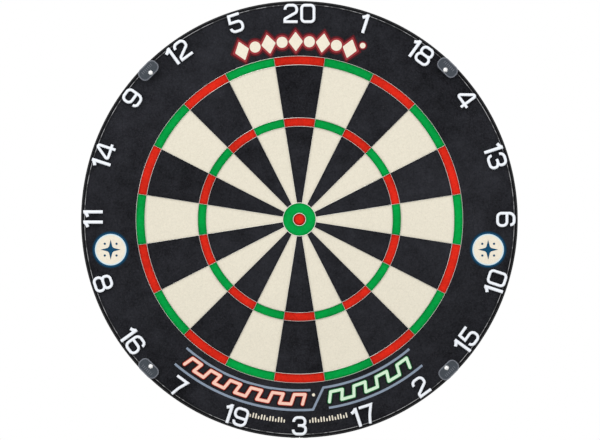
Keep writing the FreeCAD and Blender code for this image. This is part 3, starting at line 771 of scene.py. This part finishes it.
def build_beds():
    """Doubles, trebles, singles and bulls."""
    colours = sisal_colours()
    double_outer, double_inner = inside("double_outer_wire"), RING_WIRES["double_inner_wire"]
    treble_outer, treble_inner = inside("treble_outer_wire"), RING_WIRES["treble_inner_wire"]
    single_outer, single_inner = inside("double_inner_wire"), RING_WIRES["treble_outer_wire"]
    centre_outer, centre_inner = inside("treble_inner_wire"), RING_WIRES["outer_bull_wire"]
    groups = [
        ("double_beds", double_outer, double_inner, ("red", "green")),
        ("outer_singles", single_outer, single_inner, ("black", "cream")),
        ("treble_beds", treble_outer, treble_inner, ("red", "green")),
        ("inner_singles", centre_outer, centre_inner, ("black", "cream")),
    ]
    for group, outer, inner, tints in groups:
        for first, tint in enumerate(tints):
            slot = "sisal_" + tint
            bed_group("%s_%s" % (tint, group), "%s_%s" % (group, tint), outer, inner, first,
                      colours[slot])
    bull_outer, bull_inner = inside("outer_bull_wire"), RING_WIRES["bull_wire"]
    round_bed("outer_bull", "outer_bull_bed", bull_outer, bull_inner, colours["sisal_green"])
    # the bullseye gets a stronger painted shade, a dark line inside its wire
    bull_red = sisal("bull_sisal", settings().sisal.red, *RED_SISAL, shading=0.68)
    round_bed("bullseye", "bullseye_bed", inside("bull_wire"), 0.0, bull_red)
    plain_node("sisal_core", colours["sisal_raw"])


def build_surround():
    """The black surround, with a step for the band's bead and holes for the clip pins."""
    tuning = settings().sisal
    inner = RING_WIRES["double_outer_wire"]
    outer = half_width("sisal_core")
    shoulder = outer - SHELF_WIDTH
    across = round((shoulder - inner) / (tuning.mesh * 1.15))
    section = rounded_bar(inner, shoulder, FACE, BED_BACK, tuning.edge, across)[:-1]
    section += [(shoulder, FACE + SHELF_DEPTH), (outer, FACE + SHELF_DEPTH), (outer, BED_BACK)]
    bm = bmesh.new()
    lathe(bm, section, steps=round(2 * math.pi * outer / (tuning.mesh * 1.6)))
    dress(bm, outer, inner, False)
    colour = sisal("surround_sisal", tuning.black, *BLACK_SISAL)
    made = piece("surround", bm, "board", colour, ("sisal_surround",))
    bores = []
    for number in CLIP_NUMBERS:
        low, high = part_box("clip_pin_%d" % number)
        bores.append(pin_bore((low + high) / 2, FACE - 2 * MM, high.y + 0.3 * MM, 24))
    combine(made, "DIFFERENCE", bores)


# ---------- prints
PRINT_LAYER = 0.02 * MM                    # from one ink's top to the next
PRINT_UNDER = FACE + 0.15 * MM             # the hidden side of the printed shapes
PRINT_STEP = 0.004 * MM                    # keeps one ink's overlapping shapes off one plane
PRINT_STEPS = 4
LOZENGE_ROW_R = 184.5 * MM
LOZENGE_PITCH = 4.4                        # degrees from each lozenge to the next disc
LOZENGE_SHIFT = 1.2                        # degrees that the row lies to the left of the top
LOZENGE_MM = (7.6, 10.2)                   # half its width and height
LOZENGE_DISC_MM = 5.7                      # radius of the discs between the lozenges
LOZENGE_SIDES = 4
LOZENGE_CORNER = 1.0 * MM
INK_GROWTH_MM = (3.8, 2.0, 0.0)            # the halo and the outline beyond the fill
CORNER_GROWTH = 1.4                        # a lozenge's points grow by more
ROUNDEL_ANGLES = (99.1, 260.9)
ROUNDEL_PLACE_R = 198.2 * MM
ROUNDEL_RADII_MM = (19.3, 17.9, 16.3, 15.1)
STAR_ARM = (2.6 * MM, 10.5 * MM)
STAR_MIDDLE_R = 3.6 * MM
STAR_DOT_R = 1.2 * MM
STAR_DOT_PLACE_R = 8.6 * MM
MEANDER_R = 186.6 * MM
MEANDER_HALF_HEIGHT = 5.0 * MM
MEANDER_LEAN = 0.30 * MEANDER_HALF_HEIGHT
MEANDER_WIDTHS_MM = (6.8, 4.6, 3.0)
TICK_LONG_R = 206.6 * MM                   # where the long and every third, short stroke start
TICK_SHORT_R = 208.6 * MM
TICK_OUTER_R = 210.6 * MM
TICK_WIDTH = 1.4 * MM
STRIPE_SHIFT = 1.2 * MM                    # the right inner pinstripe lies this much further in


class Ink:
    """Flat printed shapes of one colour, a hair above the face."""

    def __init__(self, name, colour, layer):
        self.name = name
        self.colour = colour
        self.bm = bmesh.new()
        self.top = FACE - PRINT_LAYER * (1 + layer)
        self.count = 0

    def plate(self, radius_x, radius_z, corners, place, turn=0.0, rounding=0.0):
        """A polygon with this many corners; four make a lozenge."""
        shape = bmesh.new()
        bmesh.ops.create_circle(shape, cap_ends=True, segments=corners, radius=1.0)
        size = Matrix.Diagonal((radius_x, 1, radius_z, 1))
        self.trace(shape, place @ clock(turn) @ size @ UPRIGHT, rounding)

    def disc(self, radius, sides, place):
        """A round plate."""
        self.plate(radius, radius, sides, place)

    def bar(self, half_width_x, half_height, place, rounding):
        """A rounded rectangle."""
        shape = bmesh.new()
        bmesh.ops.create_grid(shape, x_segments=1, y_segments=1, size=1.0)
        size = Matrix.Diagonal((half_width_x, 1, half_height, 1))
        self.trace(shape, place @ size @ UPRIGHT, rounding)

    def stroke(self, start, end, width):
        """A round-ended bar between two points of the face."""
        along = end - start
        lean = math.degrees(math.atan2(along.x, along.z))
        place = Matrix.Translation((start + end) / 2) @ clock(lean)
        self.bar(width / 2, (along.length + width) / 2, place, 0.49 * width)

    def trace(self, shape, matrix, rounding):
        """Places a flat shape, rounds its corners and gives it its thickness."""
        bmesh.ops.transform(shape, matrix=matrix, verts=shape.verts)
        if rounding:
            bmesh.ops.bevel(shape, geom=shape.verts[:], offset=rounding, segments=5, profile=0.5,
                            affect="VERTICES", clamp_overlap=True, material=-1)
        for vert in shape.verts:
            vert.co.y = PRINT_UNDER
        self.count += 1
        top = self.top - PRINT_STEP * (self.count % PRINT_STEPS)
        rise = Vector((0, top - PRINT_UNDER, 0))
        made = bmesh.ops.extrude_face_region(shape, geom=shape.faces[:])
        raised = [v for v in made["geom"] if isinstance(v, bmesh.types.BMVert)]
        bmesh.ops.translate(shape, vec=rise, verts=raised)
        bmesh.ops.recalc_face_normals(shape, faces=shape.faces)
        mesh = bpy.data.meshes.new("shape")
        shape.to_mesh(mesh)
        shape.free()
        self.bm.from_mesh(mesh)
        bpy.data.meshes.remove(mesh)

    def stripe(self, radius, width, start, end):
        """A pinstripe along an arc, between two clock angles."""
        half = width / 2
        section = [(radius - half, PRINT_UNDER), (radius - half, self.top),
                   (radius + half, self.top), (radius + half, PRINT_UNDER)]
        sweep = end - start
        lathe(self.bm, section, start, sweep, steps=max(6, round(sweep * 2)))

    def done(self):
        """The finished print."""
        material = ink(self.name, self.colour)
        piece(self.name, self.bm, "board", material)


def print_lozenges(inks):
    """The row of lozenges and discs over segment 20, ending in a small dot."""
    for k in range(-4, 5):
        place = clock_place(LOZENGE_ROW_R, k * LOZENGE_PITCH - LOZENGE_SHIFT)
        for layer, grow in zip(inks, INK_GROWTH_MM):
            if k % 2:
                layer.disc((LOZENGE_DISC_MM + grow) * MM, 32, place)
            else:
                wide, tall = ((half + CORNER_GROWTH * grow) * MM for half in LOZENGE_MM)
                layer.plate(wide, tall, LOZENGE_SIDES, place, rounding=LOZENGE_CORNER)
    for layer, radius in zip(inks, (4.8, 3.9, 2.9)):
        layer.disc(radius * MM, 24, clock_place(191.8 * MM, 20.0))


def print_roundels(inks):
    """The two roundels beside segments 8 and 10: halo, ring, disc and a four-point star."""
    star = inks[-1]
    for angle in ROUNDEL_ANGLES:
        place = clock_place(ROUNDEL_PLACE_R, angle) @ clock(-angle)
        for layer, radius in zip(inks, ROUNDEL_RADII_MM):
            layer.disc(radius * MM, 72, place)
        for turn in (0, 90):
            star.plate(*STAR_ARM, LOZENGE_SIDES, place, turn)
        star.disc(STAR_MIDDLE_R, 32, place)
        for quarter in range(4):
            star.disc(STAR_DOT_R, 20, place @ clock_place(STAR_DOT_PLACE_R, 45 + 90 * quarter))


def print_meander(layers, start, end, count):
    """A leaning square wave between the pinstripes, from one clock angle to another."""
    corners = []
    for k in range(count):
        place = clock(start + (end - start) * k / (count - 1))
        low = place @ Vector((-MEANDER_LEAN, 0, MEANDER_R - MEANDER_HALF_HEIGHT))
        high = place @ Vector((MEANDER_LEAN, 0, MEANDER_R + MEANDER_HALF_HEIGHT))
        corners += [low, high] if k % 2 else [high, low]
    for layer, width in zip(layers, MEANDER_WIDTHS_MM):
        for first, second in zip(corners, corners[1:]):
            layer.stroke(first, second, width * MM)


def print_ticks(cream, start, end, count):
    """A row of short strokes near the rim, like small print."""
    for k in range(count):
        angle = start + (end - start) * k / (count - 1)
        inner = TICK_LONG_R if k % 3 else TICK_SHORT_R
        cream.stroke(clock_point(inner, angle), clock_point(TICK_OUTER_R, angle), TICK_WIDTH)


def print_stripes(slate):
    """Pinstripes below the double ring, stepping across once."""
    sizes = settings().prints
    inner, outer, width = sizes.inner_stripe, sizes.outer_stripe, sizes.stripe
    right_inner = inner - STRIPE_SHIFT
    slate.stripe(inner, width, start=176.3, end=221.3)
    slate.stripe(outer, width, start=175.9, end=220.8)
    slate.stripe(right_inner, width, start=139.7, end=171.9)
    slate.stripe(outer, width, start=139.9, end=171.1)
    low = clock_point(outer, 175.9)
    high = clock_point(right_inner, 171.9)
    lean = math.degrees(math.atan2(high.x - low.x, high.z - low.z))
    place = Matrix.Translation((low + high) / 2) @ clock(lean)
    slate.bar(width / 2, (high - low).length / 2 + width / 3, place, 0.4 * MM)


def build_prints():
    """All printed decoration on the surround."""
    inks = settings().prints
    layers = [Ink("print_" + name, colour, layer) for name, colour, layer in (
        ("dark_red", inks.dark_red, 0), ("red", inks.red, 1), ("cream", inks.cream, 3),
        ("navy_halo", inks.navy, 0), ("blue_halo", inks.blue, 1),
        ("pale_blue", inks.pale_blue, 2), ("blue_star", inks.blue, 4),
        ("slate", inks.slate, 0), ("soot", inks.soot, 0), ("brick", inks.brick, 1),
        ("salmon", inks.salmon, 2), ("pine", inks.pine, 1), ("mint", inks.mint, 2))]
    dark_red, red, cream, fade, halo, pale, star, slate, soot, brick, salmon, pine, mint = layers
    print_lozenges((dark_red, red, cream))
    print_roundels((fade, halo, pale, cream, star))
    print_meander((soot, brick, salmon), start=218.0, end=178.6, count=12)
    print_meander((soot, pine, mint), start=170.2, end=142.8, count=8)
    print_ticks(cream, start=194.1, end=184.3, count=13)
    print_ticks(cream, start=177.0, end=166.5, count=14)
    cream.disc(1.6 * MM, 20, clock_place(182.5 * MM, 175.4))
    print_stripes(slate)
    for layer in layers:
        layer.done()


# ---------- band and wires
def build_band():
    """The steel band: thin wall, rolled front edge and a seam at the bottom."""
    wall, bead = BAND_WALL, BAND_BEAD_R
    outer = BOARD_R - EASE
    back, face = rear("steel_band"), front("steel_band")
    centre = (outer - bead, face + bead)
    roll = arc_points(centre, bead, 0, 250, 14)
    hem = arc_points((outer - wall / 2, back - wall / 2), wall / 2, 180, 360, 4)
    section = roll + [(outer - wall, face + 2.6 * bead)] + hem
    seam = math.degrees(BAND_SEAM / BOARD_R)
    bm = bmesh.new()
    lathe(bm, section, 180 + seam / 2, 360 - seam, steps=300)
    finish = settings().finish
    black = enamel("band_enamel", finish.enamel, 0.46, 0.5, 0.25)
    piece("band", bm, "board", black, ("steel_band",))
    smooth_copy("band_rivet_heads", "band_rivets", "board", black)
    plain_node("band_strap", steel("strap_zinc", finish.zinc, 0.4, 1200))


def blade_section(middle, half, crest):
    """A blade's section: upright sides that slope in to a narrow rounded crest."""
    top = arc_points((middle, WIRE_TOP + crest), crest, 160, 20, 4)
    shoulder = FACE + BLADE_SHOULDER
    left = [(middle - half, BED_BACK), (middle - half, shoulder)]
    return left + top + [(middle + half, shoulder), (middle + half, BED_BACK)]


def build_spider():
    """Ring wires and radial blades."""
    bright = steel("wire_steel", settings().finish.steel, 0.30, 1500)
    satin = steel("bull_wire_steel", settings().finish.bull_steel, 0.52, 1500)
    for name, outer in RING_WIRES.items():
        bm = bmesh.new()
        steps = 240 if outer > 50 * MM else 120
        half = WIRE_THICK / 2
        bull = "bull" in name
        crest = BULL_BLADE_CREST if bull else RING_BLADE_CREST
        lathe(bm, blade_section(outer - half, half, crest), steps=steps)
        piece(name.replace("wire", "blade"), bm, "board", satin if bull else bright,
              (name,))
    rings = sorted(RING_WIRES.values())[1:]
    bm = bmesh.new()
    for inner, outer in zip(rings, rings[1:]):
        for k in range(SEGMENTS):
            radial_bar(bm, inner, outer - WIRE_THICK, SEGMENT_DEG * (k + 0.5))
    piece("straight_blades", bm, "board", bright, ("radial_blades",))


def radial_bar(bm, inner, outer, angle):
    """One straight blade between two rings."""
    section = blade_section(0.0, RADIAL_HALF, RADIAL_BLADE_CREST)
    turn = clock(angle)
    verts = [bm.verts.new(turn @ Vector((x, y, inner))) for x, y in section]
    made = bmesh.ops.extrude_face_region(bm, geom=[bm.faces.new(verts)])
    far = [v for v in made["geom"] if isinstance(v, bmesh.types.BMVert)]
    bmesh.ops.translate(bm, vec=turn @ Vector((0, 0, outer - inner)), verts=far)


# ---------- number ring
def build_number_ring():
    """Hoop and numbers."""
    finish = settings().finish
    outer, inner = half_width("number_hoop"), half_width("number_hoop") - HOOP_WIDTH
    face, back = front("number_hoop"), rear("number_hoop")
    corner = HOOP_ROUNDING
    section = []
    for radius, y, start in ((inner + corner, face + corner, 180),
                             (outer - corner, face + corner, 90),
                             (outer - corner, back - corner, 360),
                             (inner + corner, back - corner, 270)):
        section += arc_points((radius, y), corner, start, start - 90, 3)
    bm = bmesh.new()
    lathe(bm, section, steps=300)
    # black enamel with a painted highlight along the hoop's crest
    dark = enamel_with_painted_glint("hoop_enamel", finish.enamel, finish.painted_glint, (outer + inner) / 2)
    piece("hoop", bm, "number_ring", dark, ("number_hoop",))
    white = enamel("number_enamel", finish.number, 0.42, 0.06)
    smooth_copy("numbers", "numerals", "number_ring", white, 0.0, 40.0)


# ---------- clips and pins
def edges_at(bm, y):
    """The edges that lie level at a place along the board's axis."""
    return [e for e in bm.edges if all(abs(v.co.y - y) < LEVEL for v in e.verts)]


def clip_blank(bm):
    """A clip at the top of the board: bevelled plate with a raised rim round a sunk floor."""
    face = front("ring_clip_1")
    under = face + CLIP_THICK
    inner_edge, outer_edge = BOARD_R - CLIP_WIDTH + EASE, BOARD_R - EASE
    half_length = CLIP_LENGTH / 2
    verts = block(bm, (-half_length, face, inner_edge), (half_length, under, outer_edge))
    upright = {e for v in verts for e in v.link_edges
               if abs(e.verts[0].co.y - e.verts[1].co.y) > CLIP_THICK / 2}
    bevelled(bm, list(upright), CLIP_CORNER, 10)
    bevelled(bm, edges_at(bm, face), CLIP_BEVEL, 4)
    bevelled(bm, edges_at(bm, under), CLIP_HEM, 2)
    top = max((f for f in bm.faces if abs(f.calc_center_median().y - face) < LEVEL),
              key=lambda f: f.calc_area())
    bmesh.ops.inset_region(bm, faces=[top], thickness=CLIP_RIM, use_even_offset=True)
    bmesh.ops.inset_region(bm, faces=[top], thickness=CLIP_FLOOR_SLOPE,
                           depth=-CLIP_FLOOR_DEPTH, use_even_offset=True)


def clip_ribs(bm, floor):
    """Short grip ribs outside the pin."""
    z = BOARD_R - RIB_EDGE
    for k in range(-3, 4):
        x = k * RIB_PITCH
        verts = block(bm, (x - RIB_HALF_WIDTH, floor - RIB_RISE, z - RIB_HALF_LENGTH),
                      (x + RIB_HALF_WIDTH, floor + RIB_ROOT, z + RIB_HALF_LENGTH))
        bevelled(bm, list({e for v in verts for e in v.link_edges}), RIB_BEVEL)


def build_clips():
    """Four ring clips."""
    smoke = smoke_plastic()
    for number in CLIP_NUMBERS:
        node = "ring_clip_%d" % number
        hinge = joint_place("clip_%d_swivel" % number)
        centre = Vector((0, 0, math.hypot(hinge.x, hinge.z)))
        face, foot = front(node), rear(node)
        floor = face + CLIP_FLOOR_DEPTH
        bm = bmesh.new()
        clip_blank(bm)
        plate = loose_object("clip_plate", bm)
        boss_top = face + CLIP_THICK - CLIP_BOSS_ROOT
        boss = [(0.0, boss_top), (CLIP_BOSS_R, boss_top), (CLIP_BOSS_R, foot - CLIP_BOSS_BEVEL),
                (CLIP_BOSS_R - CLIP_BOSS_BEVEL, foot), (0.0, foot)]
        bm = bmesh.new()
        turned(bm, boss, 40, centre)
        combine(plate, "UNION", [loose_object("clip_boss", bm)])
        combine(plate, "DIFFERENCE", [pin_bore(centre, face - 1 * MM, foot + 1 * MM, 32)])
        bm = bmesh.new()
        bm.from_mesh(plate.data)
        bpy.data.objects.remove(plate)
        clip_ribs(bm, floor)
        # marks the rim, ribs and sides for the painted highlight; the sunk floor keeps the plain
        # smoke
        keep_number(bm, "rim", lambda point: 0.0 if abs(point.y - floor) < 0.02 * MM else 1.0)
        bmesh.ops.transform(bm, matrix=clock(clock_of(hinge)), verts=bm.verts)
        piece("clip_%d_cover" % number, bm, "clip_%d" % number, smoke, (node,), 40.0)


def build_pins():
    """Four pins with low domed heads."""
    nickel = steel("pin_nickel", settings().finish.nickel, 0.26, 2200)
    dome_r = (PIN_HEAD_R ** 2 + PIN_HEAD_HEIGHT ** 2) / (2 * PIN_HEAD_HEIGHT)
    spread = math.degrees(math.asin((PIN_HEAD_R - 0.1 * MM) / dome_r))
    for number in CLIP_NUMBERS:
        node = "clip_pin_%d" % number
        tip, top = rear(node), front(node)
        seat = top + PIN_HEAD_HEIGHT
        dome = arc_points((0.0, top + dome_r), dome_r, 90, 90 - spread, 8)
        lip = [(PIN_HEAD_R, seat - 0.12 * MM), (PIN_HEAD_R, seat - 0.03 * MM),
               (PIN_HEAD_R - 0.08 * MM, seat)]
        shank = [(PIN_SHANK_R, seat), (PIN_SHANK_R, tip - PIN_POINT), (PIN_TIP_R, tip),
                 (0.0, tip)]
        centre = joint_place("clip_%d_swivel" % number)
        centre.y = 0
        bm = bmesh.new()
        turned(bm, dome + lip + shank, 48, centre)
        piece("pin_%d_turned" % number, bm, "pin_%d" % number, nickel, (node,))


# ---------- back
def build_back():
    """Backboard, hub and stud."""
    zinc = steel("hub_zinc", settings().finish.zinc, 0.36, 900)
    plain_node("backboard", chipboard())
    plain_node("hub_bush", zinc)
    smooth_copy("cover_plate", "hub_plate", "board", zinc, 0.12 * MM)
    smooth_copy("plate_screws", "hub_screws", "board", zinc, 0.08 * MM)
    smooth_copy("wall_stud", "hanging_stud", "board", zinc, 0.12 * MM)


def build_feet():
    """Three levelling feet."""
    zinc = steel("foot_zinc", settings().finish.zinc, 0.38, 900)
    black = black_plastic()
    for number in FOOT_NUMBERS:
        bracket, axle, wheel = ("foot_%s_%d" % (part, number) for part in
                                ("bracket", "axle", "wheel"))
        smooth_copy("bracket_%d" % number, bracket, "board", zinc, 0.15 * MM)
        smooth_copy("axle_%d" % number, axle, "board", zinc, 0.15 * MM)
        smooth_copy("wheel_%d" % number, wheel, "foot_%d" % number, black,
                    0.15 * MM)
    smooth_copy("bracket_screws", "foot_screws", "board", zinc, 0.08 * MM)


# ---------- stage
def area_light(name, place, target, power, size):
    """A square soft light aimed at a point."""
    lamp = bpy.data.lights.new(name, "AREA")
    lamp.shape = "SQUARE"
    lamp.size = size
    lamp.energy = power
    made = bpy.data.objects.new(name, lamp)
    made.location = place
    made.rotation_mode = "QUATERNION"
    made.rotation_quaternion = (Vector(target) - Vector(place)).to_track_quat("-Z", "Y")
    bpy.context.scene.collection.objects.link(made)


def build_stage():
    """Camera, lights, white surroundings and a pale floor below the board."""
    stage = settings().stage
    scene = bpy.context.scene
    camera = bpy.data.cameras.new("camera")
    camera.sensor_width = 36.0
    camera.lens = camera.sensor_width * stage.distance / stage.frame_width
    holder = bpy.data.objects.new("camera", camera)
    holder.location = (stage.aim_x, FACE - stage.distance, stage.aim_z)
    holder.rotation_euler = (math.radians(90), 0, 0)
    scene.collection.objects.link(holder)
    scene.camera = holder
    camera.clip_end = 100
    area_light("key_light", (-0.5, -2.4, 2.2), (0, 0, 0), stage.key, 1.4)
    area_light("fill_light", (-2.6, -2.0, 0.3), (0, 0, 0), stage.fill, 1.2)
    world = bpy.data.worlds.new("white_surroundings")
    world.use_nodes = True
    world.node_tree.nodes["Background"].inputs["Color"].default_value = (1, 1, 1, 1)
    world.node_tree.nodes["Background"].inputs["Strength"].default_value = stage.world
    scene.world = world
    scene.view_settings.view_transform = "Standard"
    bm = bmesh.new()
    verts = block(bm, (-FLOOR_HALF_WIDTH, -FLOOR_HALF_DEPTH, -stage.floor_depth - FLOOR_THICK),
                  (FLOOR_HALF_WIDTH, FLOOR_HALF_DEPTH, -stage.floor_depth))
    bevelled(bm, list({e for v in verts for e in v.link_edges}), 4 * MM, 3)
    floor = loose_object("floor", bm)
    shader = Shader("floor_paint", Specular_IOR_Level=0.2)
    grain = shader.noise(60, 2.0, 0.5)
    paint = shader.toned((0.74, 0.74, 0.73), 1 + (grain - 0.5) * 0.03)
    floor.data.materials.append(shader.finish(Base_Color=paint, Roughness=0.75 + grain * 0.1))


# ---------- operators
class BuildOperator:
    """Shared by the operators: builds."""

    bl_options = {"REGISTER", "UNDO"}
    build = None

    def execute(self, context):
        type(self).build()
        return {"FINISHED"}


class DARTBOARD_OT_stage(BuildOperator, bpy.types.Operator):
    """Add the camera, lights and floor"""

    bl_idname = "dartboard.stage"
    bl_label = "Stage"
    build = staticmethod(build_stage)


class DARTBOARD_OT_beds(BuildOperator, bpy.types.Operator):
    """Build the dyed sisal beds"""

    bl_idname = "dartboard.beds"
    bl_label = "Beds"
    build = staticmethod(build_beds)


class DARTBOARD_OT_surround(BuildOperator, bpy.types.Operator):
    """Build the black surround"""

    bl_idname = "dartboard.surround"
    bl_label = "Surround"
    build = staticmethod(build_surround)


class DARTBOARD_OT_prints(BuildOperator, bpy.types.Operator):
    """Print the surround's decoration"""

    bl_idname = "dartboard.prints"
    bl_label = "Prints"
    build = staticmethod(build_prints)


class DARTBOARD_OT_band(BuildOperator, bpy.types.Operator):
    """Build the steel band"""

    bl_idname = "dartboard.band"
    bl_label = "Band"
    build = staticmethod(build_band)


class DARTBOARD_OT_spider(BuildOperator, bpy.types.Operator):
    """Build the wires between the beds"""

    bl_idname = "dartboard.spider"
    bl_label = "Wires"
    build = staticmethod(build_spider)


class DARTBOARD_OT_number_ring(BuildOperator, bpy.types.Operator):
    """Build the hoop and its numbers"""

    bl_idname = "dartboard.number_ring"
    bl_label = "Number ring"
    build = staticmethod(build_number_ring)


class DARTBOARD_OT_clips(BuildOperator, bpy.types.Operator):
    """Build the ring clips"""

    bl_idname = "dartboard.clips"
    bl_label = "Clips"
    build = staticmethod(build_clips)


class DARTBOARD_OT_pins(BuildOperator, bpy.types.Operator):
    """Build the clip pins"""

    bl_idname = "dartboard.pins"
    bl_label = "Pins"
    build = staticmethod(build_pins)


class DARTBOARD_OT_back(BuildOperator, bpy.types.Operator):
    """Finish the backboard and the hub"""

    bl_idname = "dartboard.back"
    bl_label = "Back"
    build = staticmethod(build_back)


class DARTBOARD_OT_feet(BuildOperator, bpy.types.Operator):
    """Build the levelling feet"""

    bl_idname = "dartboard.feet"
    bl_label = "Feet"
    build = staticmethod(build_feet)


OPERATORS = (
    DARTBOARD_OT_stage, DARTBOARD_OT_beds, DARTBOARD_OT_surround, DARTBOARD_OT_prints,
    DARTBOARD_OT_band, DARTBOARD_OT_spider, DARTBOARD_OT_number_ring, DARTBOARD_OT_clips,
    DARTBOARD_OT_pins, DARTBOARD_OT_back, DARTBOARD_OT_feet,
)


class DARTBOARD_PT_panel(bpy.types.Panel):
    """Lists the dartboard's builders and settings"""

    bl_idname = "DARTBOARD_PT_panel"
    bl_label = "Sisal dartboard"
    bl_space_type = "VIEW_3D"
    bl_region_type = "UI"
    bl_category = "Dartboard"

    def draw(self, context):
        for operator in OPERATORS:
            self.layout.operator(operator.bl_idname)
        for group in ("sisal", "prints", "finish", "stage"):
            box = self.layout.box()
            values = getattr(context.scene.dartboard, group)
            for name in values.__annotations__:
                box.prop(values, name)


CLASSES = (SisalSettings, PrintSettings, FinishSettings, StageSettings, DartboardSettings,
           *OPERATORS, DARTBOARD_PT_panel)


def register():
    """Registers the add-on's classes and settings."""
    for each in CLASSES:
        bpy.utils.register_class(each)
    bpy.types.Scene.dartboard = PointerProperty(type=DartboardSettings)


def unregister():
    """Removes them again."""
    del bpy.types.Scene.dartboard
    for each in reversed(CLASSES):
        bpy.utils.unregister_class(each)


def main():
    """Builds everything."""
    register()
    for operator in OPERATORS:
        group, name = operator.bl_idname.split(".")
        getattr(getattr(bpy.ops, group), name)()


if __name__ == "__main__":
    main()
